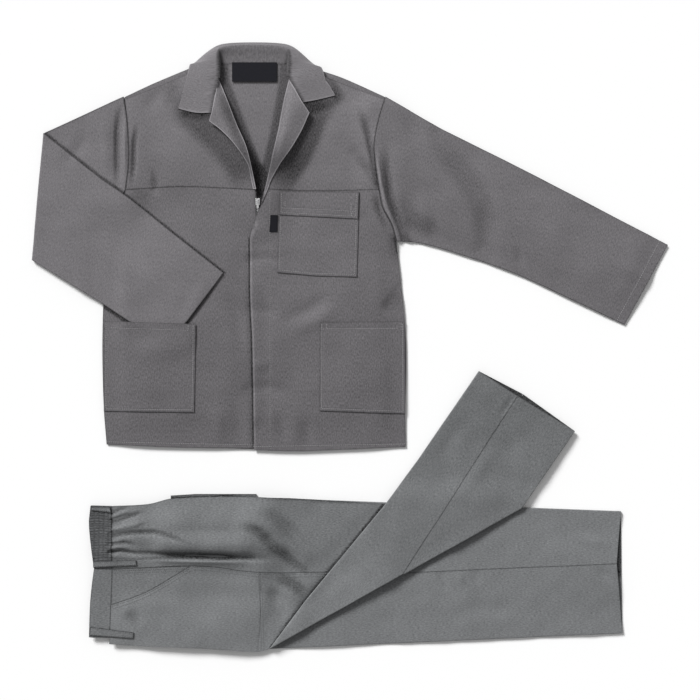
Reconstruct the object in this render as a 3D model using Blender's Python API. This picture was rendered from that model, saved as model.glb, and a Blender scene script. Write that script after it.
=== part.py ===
"""Two-piece work suit laid flat: a zip-front jacket above a pair of elastic-back trousers.

Every cloth piece starts as its flat pattern, one outline in millimetres, and becomes a wall of twill.
The wall is folded along its creases, then all the pieces are eased apart by one relief, a table of
swells between the layers, so that pieces which lie on each other stay on each other.
Right and left are the wearer's. X runs across the suit, Y up towards the collar, Z up off the table.
"""

import math

import bmesh
import bpy
from mathutils import Vector

MM = 0.001
CLOTH = 1.2                 # thickness of the twill
GAP = 0.3                   # air between pieces that lie on or beside each other
PLY = CLOTH + GAP           # height of one layer in the flat stack
TUBE = 2 * CLOTH + GAP      # height of a flattened sleeve
TRIM = 0.8                  # thickness of woven labels and zip tape
SEAM = 0.15                 # each piece stops this far from a shared seam
JACKET_CELL = 50.0          # spacing of the facets that carry the relief
TROUSER_CELL = 50.0
BEND_STEPS = 3              # facets round a folded edge
SIDE_STEP = 0.5             # how far a fold runs on past its end
ARC_STEP = 42.0             # longest straight run on a curved outline
ARM_CURVE_R = 8             # how far each armhole curves in towards the body
ARM_CURVE_L = 16
RIBS = 18                   # gathers along the visible elastic band
RIB_HEIGHT = 0.9
SLIDER_X, SLIDER_Y = -176.5, 279.0
SLIDER_SIZE = (8.5, 13.0, 3.0)
SLIDER_LIFT = 0.5
TAB_WIDE, TAB_LONG, TAB_THICK = 4.4, 14.0, 1.0

TWILL_JACKET = (0.135, 0.128, 0.137)
TWILL_TROUSERS = (0.150, 0.155, 0.160)

# Jacket: x across, y up, in millimetres.
JACKET = {
    "neck_back_r": (-250, 545), "neck_back_l": (-121, 545),
    "neck_side_r": (-272, 541), "neck_side_l": (-96, 540),
    "gorge_r": (-252, 516), "gorge_l": (-117, 514),
    "notch_r": (-264, 448), "notch_l": (-92, 470),
    "lapel_tip_r": (-269, 432), "lapel_tip_l": (-77, 448),
    "lapel_mid_r": (-213, 379), "lapel_mid_l": (-112, 379),
    "lapel_end_r": (-180, 318), "lapel_end_l": (-157, 303),
    "roll_mid_r": (-196, 379), "roll_mid_l": (-138, 410),
    "vee_r": (-179, 302), "vee_l": (-160, 302),
    "lap_top": (-169, 274), "lap_low": (-181, 248), "lap_turn": (-192, 218), "lap_mid": (-191, 91),
    "exit_r": (-307, 536), "exit_l": (-54, 531),
    "shoulder_r": (-433, 481), "shoulder_l": (68, 481),
    "seam_in_r": (-301, 527), "seam_in_l": (-60, 523),
    "seam_out_r": (-431, 475), "seam_out_l": (66, 475),
    "yoke_arm_r": (-429, 302), "yoke_arm_l": (56, 302),
    "underarm_r": (-468, 206), "underarm_l": (89, 204),
    "waist_r": (-475, -18), "waist_l": (108, -18),
    "hem_side_r": (-467, -186), "hem_side_l": (107, -191),
    "hem_mid_r": (-326, -192), "hem_mid_l": (-38, -198),
    "hem_zip_r": (-180, -194), "hem_lap_l": (-184, -197),
}

# Sleeves, as they lie: the right one is folded back over the front, the left one lies out.
SLEEVES = {
    "fold_top": (-588, 411), "fold_low": (-610, 167),
    "cuff_top_r": (-242, 143), "elbow_r": (-427, 51), "cuff_low_r": (-348, 1),
    "over_a": (105, 460), "over_b": (191, 412), "over_c": (315, 350),
    "cuff_top_l": (610.3, 197), "cuff_low_l": (527, 43),
    "under_c": (432, 88), "under_b": (315, 142), "under_a": (166, 193),
}

# Trousers on their side: waist to the left, front to the bottom, left leg on top and folded back.
TROUSERS = {
    "band_top": (-497, -303), "band_side": (-490, -423), "band_low": (-500, -555),
    "body_top": (-457, -304), "body_side": (-455, -424), "body_low": (-461, -568),
    "seat_a": (-387, -300), "seat_b": (-296, -286), "seat_c": (-115, -288), "seat_d": (68, -299),
    "front_a": (-309, -575), "front_b": (-177, -583.15), "crease_front": (-152, -578),
    "hem_front_r": (523, -548), "hem_back_r": (520, -314),
    "hem_front_l": (510, -517), "hem_back_l": (509, -300),
    "side_a": (-406, -421), "side_b": (-303, -416), "side_c": (-201, -427), "side_hem": (512, -420),
    "slant_mid": (-389, -467), "slant_low": (-457.6, -493),
    "crotch": (-96, -441), "crotch_left": (104, -437), "inseam_hem_r": (511, -414), "inseam_hem_l": (502, -429),
    "crease_back": (-115, -290), "turn_back": (78, -322), "band_seam_low": (-460, -556),
    "fold_low": (-152, -577), "fold_high": (329, -309),
}

# Swells of the jacket. ply: the layer from which everything above is raised. a, b: the ends of the
# swell's spine. core: half-width at full height. reach: half-width where it has died away.
JACKET_SWELLS = [
    # name              ply   a             b             core  reach  height
    ("collar_under",     0, (-258, 528), (-100, 528),      55,   110,   2.0),
    ("chest_r",          1, (-330, 400), (-320, 330),       0,   120,   2.6),
    ("belly_r",          1, (-330, 150), (-330, -60),       0,   130,   3.0),
    ("chest_l",          1, (-40, 400),  (-20, 330),        0,   110,   2.6),
    ("belly_l",          1, (-20, 150),  (-30, -60),        0,   130,   3.0),
    ("roll_r",           1, (-252, 516), (-196, 379),       8,    85,   7.0),
    ("roll_low_r",       1, (-196, 379), (-179, 302),       8,    80,   4.0),
    ("roll_l",           1, (-117, 514), (-140, 400),       8,    85,   7.0),
    ("roll_low_l",       1, (-140, 400), (-172, 270),       8,    80,   4.0),
    ("armhole_r",        1, (-431, 440), (-432, 300),       0,    60,   1.6),
    ("armhole_l",        1, (62, 440),   (58, 300),         0,    60,   1.6),
    ("upper_arm_r",      1, (-520, 350), (-540, 280),       0,    85,   2.6),
    ("upper_arm_l",      1, (130, 330),  (270, 262),        0,    95,   3.0),
    ("forearm_l",        1, (330, 238),  (520, 140),        0,    85,   3.0),
    ("lap_edge",         2, (-166, 285), (-184, 240),      14,    55,   4.2),
    ("lapel_edge_r",     2, (-262, 440), (-220, 392),      10,    60,   4.5),
    ("forearm_lift_r",   3, (-500, 230), (-330, 110),       0,    85,   2.8),
    ("lapel_edge_l",     3, (-84, 452),  (-118, 385),      10,    60,   4.5),
    ("tucked_cuff",      4, (-420, 30),  (-300, 30),       62,    92,   3.0),
]

# Swells of the trousers. The seat swells are filled by the bunched cloth of the hips.
TROUSER_SWELLS = [
    # name              ply   a               b             core  reach  height
    ("hip_pocket",       0, (-320, -330), (-200, -330),     100,   150,   1.6),
    ("right_leg_hem",    1, (520, -430),  (440, -430),       20,   100,   2.6),
    ("right_leg",        1, (330, -500),  (230, -540),        0,    70,   1.6),
    ("left_shank",       3, (60, -420),   (150, -430),        0,    90,   1.4),
    ("left_leg_hem",     5, (352, -60),   (310, -100),       20,   100,   2.6),
    ("left_leg",         5, (230, -190),  (60, -400),         0,    85,   2.0),
]
SEAT_SWELLS = [
    # name              a               b               core  reach  height
    ("seat",           (-330, -352),  (-180, -352),       10,    75,   14.0),
    ("seat_waist",     (-395, -345),  (-330, -352),        5,    60,    6.0),
    ("seat_rim",       (-350, -384),  (-215, -384),        4,    36,    7.0),
    ("side_ridge",     (-400, -428),  (-190, -432),        6,    52,    5.0),
    ("front_hip",      (-380, -510),  (-220, -510),       10,    90,    6.0),
]

# Layers that lie lower once they are clear of what is beneath them: from x_start the drop grows to
# its full depth at x_full, for everything from this ply up.
JACKET_DROPS = [
    # ply  x_start  x_full  depth
    (2,    -155,    -105,   PLY),        # the left front, past the zip
    (4,    -200,    -240,   2 * PLY),    # the right pocket, where no sleeve is tucked in it
]


def side_of(start, full, x):
    """How far x is along from start to full, 0 to 1."""
    return min(1.0, max(0.0, (x - start) / (full - start)))


def ease(t):
    """A smooth step from 0 to 1."""
    t = min(1.0, max(0.0, t))
    return t * t * (3 - 2 * t)


def spine_distance(x, y, a, b):
    """How far a point lies from the straight spine a-b."""
    ax, ay = a
    dx, dy = b[0] - ax, b[1] - ay
    t = min(1.0, max(0.0, ((x - ax) * dx + (y - ay) * dy) / (dx * dx + dy * dy)))
    return math.hypot(x - ax - t * dx, y - ay - t * dy)


def swell(x, y, a, b, core, reach, height):
    """The height at a point of one swell: full within core of its spine, nothing past reach."""
    return height * ease((reach - spine_distance(x, y, a, b)) / (reach - core))


class Relief:
    """How far each layer is raised at each place, worked out on a grid of triangular facets."""

    def __init__(self, cell, swells, drops=(), filled=()):
        self.cell = cell
        self.swells = swells
        self.drops = drops
        self.filled = filled
        self.known = {}

    def node(self, i, j):
        """The rises at one grid point: (from, to, height) rows, each growing between two levels."""
        if (i, j) not in self.known:
            x, y = i * self.cell, j * self.cell
            rows = [(ply, swell(x, y, *rest)) for _, ply, *rest in self.swells]
            rows += [(ply, -depth * side_of(start, full, x)) for ply, start, full, depth in self.drops]
            rows = [(ply * PLY - GAP, ply * PLY, height) for ply, height in rows]
            rows += [(PLY, 3 * PLY - GAP, swell(x, y, *rest)) for _, *rest in self.filled]
            self.known[i, j] = [row for row in rows if row[2]]
        return self.known[i, j]

    def node_rise(self, i, j, z, top_ply):
        """The rise of level z at one grid point. Swells above top_ply are left out."""
        return sum(
            height * side_of(low, high, z)
            for low, high, height in self.node(i, j)
            if high <= top_ply * PLY + GAP
        )

    def rise(self, x, y, z, top_ply=99):
        """The rise of level z at any place, flat across each facet."""
        i, j = math.floor(x / self.cell), math.floor(y / self.cell)
        u, v = x / self.cell - i, y / self.cell - j
        if u + v <= 1:
            corners = ((i, j, 1 - u - v), (i + 1, j, u), (i, j + 1, v))
        else:
            corners = ((i + 1, j + 1, u + v - 1), (i, j + 1, 1 - u), (i + 1, j, 1 - v))
        return sum(w * self.node_rise(a, b, z, top_ply) for a, b, w in corners if w > 1e-9)


class LegDrop(Relief):
    """The trousers' relief. Past the top edge of the hips the folded leg sinks to the table."""

    edge = (TROUSERS["seat_d"], TROUSERS["fold_high"])
    clear = 30.0
    run = 75.0
    depth = 4 * PLY

    def node(self, i, j):
        if (i, j) not in self.known:
            rows = super().node(i, j)
            x, y = i * self.cell, j * self.cell
            (ax, ay), (bx, by) = self.edge
            past = y - (ay + (by - ay) * (x - ax) / (bx - ax)) - self.clear
            sunk = self.depth * ease(past / self.run)
            if sunk:
                rows.append((self.depth - GAP, self.depth, -sunk))
        return self.known[i, j]


JACKET_RELIEF = Relief(JACKET_CELL, JACKET_SWELLS, JACKET_DROPS)
TROUSER_RELIEF = LegDrop(TROUSER_CELL, TROUSER_SWELLS, filled=SEAT_SWELLS)


def arc(a, b, bulge):
    """Points from a up to but not including b, on an arc that bulges to the left of a-b."""
    a, b = Vector(a), Vector(b)
    along = b - a
    across = Vector((-along.y, along.x)).normalized()
    count = max(2, round(along.length / ARC_STEP)) if bulge else 1
    return [a + along * k / count + across * bulge * 4 * (k / count) * (1 - k / count) for k in range(count)]


def outline(marks, names):
    """A pattern's outline through marks or plain points. A mark may come with the bulge, in
    millimetres, of the edge after it."""
    spots, bulges = [], []
    for name in names:
        bulges.append(name[1] if isinstance(name[0], str) and isinstance(name, tuple) else 0)
        mark = name[0] if isinstance(name[0], str) and isinstance(name, tuple) else name
        spots.append(marks[mark] if isinstance(mark, str) else mark)
    points = []
    for k, bulge in enumerate(bulges):
        points += arc(spots[k], spots[(k + 1) % len(spots)], bulge)
    return points


def run(marks, names):
    """The edges along one side of an outline."""
    points = outline(marks, names)
    spots = [p for p in points if (p - Vector(marks[names[-1]])).length > 1e-6] + [Vector(marks[names[-1]])]
    last = spots.index(Vector(marks[names[-1]]))
    return list(zip(spots[:last], spots[1:last + 1]))


def inset(points, by=SEAM):
    """The outline moved inwards, so that neighbours keep a seam's gap."""
    count = len(points)
    area = sum(points[k].x * points[k - 1].y - points[k - 1].x * points[k].y for k in range(count))
    turn = 1 if area < 0 else -1
    moved = []
    for k in range(count):
        before = (points[k] - points[k - 1]).normalized()
        after = (points[(k + 1) % count] - points[k]).normalized()
        normals = [Vector((-d.y, d.x)) * turn for d in (before, after)]
        middle = (normals[0] + normals[1]).normalized()
        moved.append(points[k] + middle * by / max(0.4, middle.dot(normals[0])))
    return moved


class Fold:
    """A straight fold from a to b. Cloth to its right turns over, or under, the rest of the stack.
    With starts, the cloth before a stays as it lies, and with ends, the cloth past b."""

    def __init__(self, a, b, low, high, over=True, starts=False, ends=False):
        self.along = (Vector(b) - Vector(a)).normalized()
        self.first = -SIDE_STEP if starts else None
        self.last = (Vector(b) - Vector(a)).length + SIDE_STEP if ends else None
        self.normal = Vector((self.along.y, -self.along.x))
        self.axis = high + GAP / 2 if over else low - GAP / 2
        self.sign = 1 if over else -1
        self.outer = high - low + GAP / 2
        self.mean = (high - low + GAP) / 2
        self.start = Vector(a) - self.normal * self.outer

    def reaches(self, along):
        """Whether the fold turns the cloth this far along it."""
        before = self.first is not None and along < self.first - 0.01
        return not before and (self.last is None or along < self.last + 0.01)

    def flat(self, point):
        """Where a spot that is seen on the folded-over part lies in the flat pattern."""
        point = Vector(point)
        depth = -(point - self.start).dot(self.normal)
        return point + self.normal * (2 * depth + math.pi * self.mean)

    def apply(self, bm):
        for limit, way in ((self.first, -1), (self.last, 1)):
            if limit is not None:
                cut(bm, self.start + self.along * limit, self.along)
                cut(bm, self.start + self.along * (limit + 8 * way), self.along)
        for k in range(BEND_STEPS + 1):
            cut(bm, self.start + self.normal * (math.pi * self.mean * k / BEND_STEPS), self.normal)
        for v in bm.verts:
            past = (v.co.xy - self.start).dot(self.normal)
            if past <= 0 or not self.reaches((v.co.xy - self.start).dot(self.along)):
                continue
            radius = self.sign * (self.axis - v.co.z)
            angle = past / self.mean
            if angle < math.pi:
                new, lift = radius * math.sin(angle), -radius * math.cos(angle)
            else:
                new, lift = math.pi * self.mean - past, radius
            v.co.xy += self.normal * (new - past)
            v.co.z = self.axis + self.sign * lift


def cut(bm, point, normal):
    """Scores the mesh along a vertical plane."""
    geom = bm.verts[:] + bm.edges[:] + bm.faces[:]
    co, no = Vector((point[0], point[1], 0)), Vector((normal[0], normal[1], 0))
    bmesh.ops.bisect_plane(bm, geom=geom, dist=1e-3, plane_co=co, plane_no=no)


def facet(bm, cell):
    """Scores the mesh along the relief's grid and its diagonals."""
    for normal in (Vector((1, 0)), Vector((0, 1)), Vector((1, 1))):
        reach = [v.co.xy.dot(normal) for v in bm.verts]
        for k in range(math.ceil(min(reach) / cell), math.floor(max(reach) / cell) + 1):
            cut(bm, normal * (k * cell / normal.length_squared), normal)


def slab(points, level, thickness=CLOTH):
    """A flat wall: the outline as one face, drawn up by its thickness."""
    bm = bmesh.new()
    bottom = bm.faces.new([bm.verts.new((p[0], p[1], level)) for p in points])
    raised = bmesh.ops.extrude_face_region(bm, geom=[bottom], use_keep_orig=True)["geom"]
    bmesh.ops.translate(bm, vec=(0, 0, thickness), verts=[v for v in raised if isinstance(v, bmesh.types.BMVert)])
    bmesh.ops.recalc_face_normals(bm, faces=bm.faces[:])
    return bm


def tube(points, open_edges):
    """A flattened sleeve: a shallow box without its end faces, given a wall on the inside."""
    bm = slab(points, 0, TUBE)
    ends = []
    for face in bm.faces:
        centre = face.calc_center_median()
        if abs(face.normal.z) < 0.5 and any(spine_distance(centre.x, centre.y, *e) < 1 for e in open_edges):
            ends.append(face)
    bmesh.ops.delete(bm, geom=ends, context="FACES_ONLY")
    bmesh.ops.solidify(bm, geom=bm.faces[:], thickness=CLOTH)
    bmesh.ops.recalc_face_normals(bm, faces=bm.faces[:])
    return bm


def settle(bm, relief, top_ply=99):
    """Raises a flat-stacked piece to its place in the relief."""
    facet(bm, relief.cell)
    for v in bm.verts:
        v.co.z += relief.rise(v.co.x, v.co.y, v.co.z, top_ply)


def material(name, colour, roughness, metallic=0.0):
    made = bpy.data.materials.get(name) or bpy.data.materials.new(name)
    made.use_nodes = True
    shader = made.node_tree.nodes["Principled BSDF"]
    shader.inputs["Base Color"].default_value = (*colour, 1)
    shader.inputs["Roughness"].default_value = roughness
    shader.inputs["Metallic"].default_value = metallic
    return made


MATERIALS = {
    "jacket": ("jacket_twill", TWILL_JACKET, 0.9),
    "trousers": ("trouser_twill", TWILL_TROUSERS, 0.9),
    "label": ("woven_label", (0.012, 0.012, 0.018), 0.7),
    "tape": ("zip_tape", (0.05, 0.05, 0.055), 0.85),
    "metal": ("zip_metal", (0.62, 0.62, 0.64), 0.3, 1.0),
}


def add(name, bm, finish, origin=(0, 0, 0)):
    """Makes the mesh an object in the suit's collection, with its origin where it turns."""
    bmesh.ops.translate(bm, vec=-Vector(origin), verts=bm.verts[:])
    bmesh.ops.scale(bm, vec=(MM, MM, MM), verts=bm.verts[:])
    bmesh.ops.triangulate(bm, faces=bm.faces[:], quad_method="SHORT_EDGE")
    mesh = bpy.data.meshes.new(name)
    bm.to_mesh(mesh)
    bm.free()
    mesh.materials.append(material(*MATERIALS[finish]))
    obj = bpy.data.objects.new(name, mesh)
    obj.location = Vector(origin) * MM
    bpy.data.collections["work_suit"].objects.link(obj)
    return obj


def jacket_piece(name, names, ply, thickness=CLOTH, top_ply=99, finish="jacket"):
    bm = slab(inset(outline(JACKET, names)), ply * PLY, thickness)
    settle(bm, JACKET_RELIEF, top_ply)
    return add(name, bm, finish)


def jacket_body():
    """The back, and on each side a front below its yoke."""
    jacket_piece("jacket_back", [
        "neck_back_r", "neck_back_l", "neck_side_l", "exit_l", ("shoulder_l", -ARM_CURVE_L), "yoke_arm_l",
        "underarm_l", ("waist_l", 2), "hem_side_l", "hem_mid_l", "hem_mid_r", "hem_side_r", "waist_r",
        "underarm_r", ("yoke_arm_r", -ARM_CURVE_R), ("shoulder_r", 5), "exit_r", "neck_side_r",
    ], ply=0)
    jacket_piece("yoke_right", [
        "seam_in_r", "neck_side_r", "gorge_r", "roll_mid_r", "vee_r", ("yoke_arm_r", -ARM_CURVE_R), "seam_out_r",
    ], ply=1)
    jacket_piece("yoke_left", [
        "seam_in_l", ("seam_out_l", -ARM_CURVE_L), "yoke_arm_l", "vee_l", "roll_mid_l", "gorge_l", "neck_side_l",
    ], ply=2)
    jacket_piece("front_right", [
        "yoke_arm_r", "vee_r", "hem_zip_r", "hem_mid_r", "hem_side_r", "waist_r", "underarm_r",
    ], ply=1)
    jacket_piece("front_left", [
        "yoke_arm_l", "underarm_l", ("waist_l", 2), "hem_side_l", "hem_mid_l", "hem_lap_l",
        "lap_mid", "lap_turn", "lap_low", "lap_top", "vee_l",
    ], ply=2)


def jacket_lapels():
    """The facings where they turn out as lapels, one layer above the yokes."""
    jacket_piece("lapel_right", [
        "gorge_r", "roll_mid_r", "vee_r", ("lapel_end_r", 2), ("lapel_mid_r", 4), "lapel_tip_r", "notch_r",
    ], ply=2)
    jacket_piece("lapel_left", [
        "gorge_l", "notch_l", ("lapel_tip_l", -3), "lapel_mid_l", "lapel_end_l", "lap_top", "roll_mid_l",
    ], ply=3)


def jacket_sleeves():
    """Flattened tubes, open at the armhole and the cuff. The right one is then folded over."""
    fold = Fold(SLEEVES["fold_top"], SLEEVES["fold_low"], 0, TUBE)
    marks = {**JACKET, **SLEEVES}
    for name in ("cuff_top_r", "elbow_r", "cuff_low_r"):
        marks[name] = fold.flat(SLEEVES[name])
    patterns = {
        "sleeve_right": (
            [("shoulder_r", ARM_CURVE_R), "yoke_arm_r", "underarm_r"], ["fold_low", "elbow_r"],
            ["cuff_low_r", "cuff_top_r"], ["fold_top"],
        ),
        "sleeve_left": (
            ["underarm_l", ("yoke_arm_l", ARM_CURVE_L), "shoulder_l"], ["over_a", "over_b", "over_c"],
            ["cuff_top_l", "cuff_low_l"], ["under_c", "under_b", "under_a"],
        ),
    }
    for name, (armhole, near, cuff, far) in patterns.items():
        open_edges = run(marks, armhole) + run(marks, cuff)
        bm = tube(inset(outline(marks, armhole + near + cuff + far), 3 * SEAM), open_edges)
        if name == "sleeve_right":
            fold.apply(bm)
        settle(bm, JACKET_RELIEF)
        add(name, bm, "jacket")


def jacket_pockets():
    """Patch pockets on the fronts. The right one takes the end of the folded sleeve."""
    patches = {
        # name              ply  corners, from the top left round
        "pocket_lower_right": (4, [(-472, 51), (-295, 45), (-298, -124), (-472, -122)]),
        "pocket_lower_left":  (3, [(-58, 49), (105, 50), (106, -127), (-59, -121)]),
        "pocket_chest":       (3, [(-135, 300), (18, 298), (13, 135), (-63, 137), (-140, 144)]),
        "pocket_chest_flap":  (4, [(-135, 299), (17, 297), (15, 246), (-136, 254)]),
    }
    for name, (ply, corners) in patches.items():
        bm = slab(inset(outline({}, corners)), ply * PLY)
        settle(bm, JACKET_RELIEF)
        add(name, bm, "jacket")


def jacket_labels():
    """Plain woven labels: one inside the back neck, one tab at the lap."""
    neck = slab(outline({}, [(-226, 543), (-140, 543), (-140, 506), (-226, 506)]), PLY, TRIM)
    settle(neck, JACKET_RELIEF, top_ply=0)
    add("label_neck", neck, "label")
    tab = slab(outline({}, [(-152, 253), (-138, 253), (-139.5, 221), (-154, 221)]), 3 * PLY, TRIM)
    settle(tab, JACKET_RELIEF)
    add("label_tab", tab, "label")


# The collar is one strip round the neck: up from the neck seam, over its roll and out as the leaf,
# which lies over the yokes at the sides and under the back behind. Its outer face goes through
# these points. Below the gorge there is no stand: the leaf starts at the lapel.
COLLAR = [
    # station       neck seam          stand              roll               leaf
    #               edge               end
    ("point_r",    None,              None,              (-265, 451, 15.2), (-296, 451, 12.0),
                   (-327, 458, 8.6),  (-330, 459, 8.2)),
    ("front_r",    None,              None,              (-259, 480, 14.6), (-290, 480, 12.5),
                   (-319, 483, 9.2),  (-322, 483, 8.8)),
    ("gorge_r",    (-249, 516, 12.2), (-250, 517, 13.2), (-253, 518, 14.2), (-284, 514, 13.0),
                   (-312, 511, 9.6),  (-315, 510, 9.2)),
    ("side_r",     (-247, 541, 4.4),  (-249, 543, 9.5),  (-253, 546, 15.5), (-281, 544, 12.0),
                   (-302, 541, 8.6),  (-308, 539, 6.4)),
    ("turn_r",     (-247, 546, 3.6),  (-249, 550, 9.0),  (-254, 556, 15.0), (-279, 553, 10.5),
                   (-301, 545, 1.2),  (-304, 541, 0.0)),
    ("shoulder_r", (-246, 548, 2.4),  (-249, 555, 8.0),  (-253, 566, 13.5), (-275, 564, 8.0),
                   (-289, 553, 0.0),  (-284, 530, 0.0)),
    ("corner_r",   (-243, 548, 2.2),  (-246, 560, 7.0),  (-250, 573, 12.0), (-257, 576, 6.5),
                   (-259, 573, 0.4),  (-258, 522, 0.0)),
    ("back_r",     (-230, 548, 2.0),  (-230, 561, 5.5),  (-232, 576, 10.0), (-233, 581, 5.0),
                   (-233, 579, 0.5),  (-232, 514, 0.0)),
    ("back_mid",   (-185, 548, 2.0),  (-185, 561, 5.5),  (-185, 577, 9.5),  (-185, 582.85, 5.0),
                   (-185, 580, 0.5),  (-185, 512, 0.0)),
    ("back_l",     (-139, 548, 2.0),  (-139, 561, 5.5),  (-137, 576, 10.0), (-136, 581, 5.0),
                   (-136, 579, 0.5),  (-137, 514, 0.0)),
    ("corner_l",   (-126, 548, 2.2),  (-123, 560, 7.0),  (-119, 573, 12.0), (-112, 576, 6.5),
                   (-110, 573, 0.4),  (-111, 522, 0.0)),
    ("shoulder_l", (-123, 548, 2.4),  (-120, 555, 8.0),  (-116, 566, 13.5), (-95, 564, 8.0),
                   (-84, 554, 0.0),   (-88, 528, 0.0)),
    ("turn_l",     (-122, 546, 3.6),  (-120, 550, 9.0),  (-115, 556, 15.0), (-88, 551, 10.5),
                   (-65, 541, 1.2),   (-61, 537, 0.0)),
    ("side_l",     (-122, 541, 4.4),  (-120, 543, 9.5),  (-115, 546, 15.5), (-84, 542, 12.0),
                   (-59, 537, 8.6),   (-53, 534, 6.4)),
    ("gorge_l",    (-121, 515, 12.6), (-120, 516, 13.6), (-116, 517, 14.6), (-82, 514, 13.0),
                   (-50, 512, 9.6),   (-46, 511, 9.2)),
    ("front_l",    None,              None,              (-102, 492, 15.2), (-72, 494, 12.5),
                   (-41, 498, 9.2),   (-37, 498, 8.8)),
    ("point_l",    None,              None,              (-90, 471, 15.8),  (-62, 476, 12.0),
                   (-32, 483, 8.6),   (-28, 484, 8.2)),
]


def strip(stations, thickness):
    """A wall through one row of points for each station, drawn inwards from its outer face."""
    bm = bmesh.new()
    rows = [[point and bm.verts.new(point) for point in points] for _, *points in stations]
    outer = []
    for row, after in zip(rows, rows[1:]):
        for k in range(len(row) - 1):
            corners = (row[k], row[k + 1], after[k + 1], after[k])
            if all(corners):
                outer.append(bm.faces.new(corners))
    bm.normal_update()
    rim = [loop for face in outer for loop in face.loops if loop.edge.is_boundary]
    sides = [(loop.vert, loop.link_loop_next.vert) for loop in rim]
    inner = {v: bm.verts.new(v.co + v.normal * thickness) for v in bm.verts[:]}
    for face in outer:
        bm.faces.new([inner[v] for v in reversed(face.verts)])
    for a, b in sides:
        bm.faces.new((b, a, inner[a], inner[b]))
    bmesh.ops.recalc_face_normals(bm, faces=bm.faces[:])
    return bm


def jacket_collar():
    add("collar", strip(COLLAR, CLOTH), "jacket")


def block(size, centre, rounding=0.0):
    """A box with rounded edges."""
    bm = bmesh.new()
    bmesh.ops.create_cube(bm, size=1)
    bmesh.ops.scale(bm, vec=size, verts=bm.verts[:])
    if rounding:
        bmesh.ops.bevel(bm, geom=bm.edges[:], offset=rounding, segments=2, profile=0.5, affect="EDGES")
    bmesh.ops.translate(bm, vec=centre, verts=bm.verts[:])
    return bm


def shape(obj, operation, tool):
    """Joins or cuts obj with a hidden helper."""
    tool.hide_render = True
    tool.display_type = "WIRE"
    bpy.data.collections["work_suit"].objects.unlink(tool)
    bpy.data.collections["helpers"].objects.link(tool)
    boolean = obj.modifiers.new(operation.lower(), "BOOLEAN")
    boolean.operation = operation
    boolean.object = tool


def jacket_zip():
    """The closed run of the zip under the lap, its slider, and the pull tab that hinges on it."""
    jacket_piece("zip", [(-178.6, 268), (-163, 268), (-163, -188), (-179.5, -188)], ply=1, top_ply=1, finish="tape")
    rise = JACKET_RELIEF.rise(SLIDER_X, SLIDER_Y, PLY, top_ply=1) + SLIDER_LIFT
    top = 2 * PLY + rise + SLIDER_SIZE[2]
    body = add("zip_slider", block(SLIDER_SIZE, (SLIDER_X, SLIDER_Y, top - SLIDER_SIZE[2] / 2), 0.6), "metal")
    bar = (SLIDER_X, SLIDER_Y + 1.0, top + TAB_THICK / 2 + GAP)
    arch = block((2.0, 5.0, 3.4), (bar[0], bar[1], top + 1.2), 0.3)
    shape(body, "UNION", add("slider_arch", arch, "metal"))
    eye = block((4.0, 2.6, 2.0), (bar[0], bar[1], top + 0.95))
    shape(body, "DIFFERENCE", add("slider_eye", eye, "metal"))
    centre = (bar[0], bar[1] + TAB_THICK / 2 - TAB_LONG / 2, bar[2])
    tab = add("zip_pull", block((TAB_WIDE, TAB_LONG, TAB_THICK), centre, 0.3), "metal", origin=bar)
    window = block((2.8, 5.0, 3.0), (bar[0], bar[1] - TAB_THICK / 2 - 2.5, bar[2]))
    shape(tab, "DIFFERENCE", add("pull_window", window, "metal"))


def leg_folds(side):
    """The front crease and the back crease of a leg, and the marks that lie past each."""
    t = TROUSERS
    if side == "right":
        front = Fold(t["crease_front"], t["hem_front_r"], 0, CLOTH, starts=True)
        back = Fold(t["hem_back_r"], t["crease_back"], 0, CLOTH, ends=True)
        return front, back
    front = Fold(t["crease_front"], t["hem_front_l"], 3 * PLY, 3 * PLY + CLOTH, over=False, starts=True)
    back = Fold(t["hem_back_l"], t["turn_back"], 3 * PLY, 3 * PLY + CLOTH, over=False, ends=True)
    return front, back


def trouser_legs():
    """Each leg is a front and a back, joined at the side seam and the inseam and wrapped round at
    the creases. The right leg lies beneath. The left one is folded back across it."""
    t = TROUSERS
    turn = Fold(t["fold_low"], t["fold_high"], 2 * PLY, 3 * PLY + CLOTH)
    for side, ply in (("right", 0), ("left", 3)):
        front, back = leg_folds(side)
        r_or_l = side[0]
        marks = {
            **t, "hem_front": t["hem_front_" + r_or_l], "hem_back": t["hem_back_" + r_or_l],
            "front_inseam_hem": front.flat(t["inseam_hem_" + r_or_l]),
            "back_inseam_hem": back.flat(t["inseam_hem_" + r_or_l]),
            "front_crotch": front.flat(t["crotch"] if side == "right" else t["crotch_left"]),
            "back_crotch": back.flat(t["crotch"] if side == "right" else t["crotch_left"]),
        }
        corner = ["slant_low", ("slant_mid", 0), "side_b"] if side == "left" else ["body_side", "side_a", "side_b"]
        front_names = ["front_a", "front_b", "crease_front", "front_crotch", "front_inseam_hem", "hem_front",
                       "side_hem", "side_c"]
        top = ["crease_back"] if side == "right" else ["turn_back", "seat_d", "seat_c"]
        back_names = ["body_side", "side_a", "side_b", "side_c", "side_hem", "hem_back", "back_inseam_hem",
                      "back_crotch"] + top + ["seat_b", "seat_a", "body_top"]
        for piece, crease, names in (
            ("front", front, ["body_low"] + front_names + corner[::-1] + ["band_seam_low"]),
            ("back", back, back_names),
        ):
            bm = slab(inset(outline(marks, names), 5 * SEAM), ply * PLY)
            crease.apply(bm)
            if side == "left":
                turn.apply(bm)
            settle(bm, TROUSER_RELIEF)
            add(f"trouser_{piece}_{side}", bm, "trousers")


def trouser_piece(name, names, ply, lift=0.0, ribs=None):
    bm = slab(inset(outline(TROUSERS, names)), ply * PLY + lift)
    if ribs:
        raise_ribs(bm, ply * PLY + CLOTH, *ribs)
    settle(bm, TROUSER_RELIEF)
    return add(name, bm, "trousers")


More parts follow.
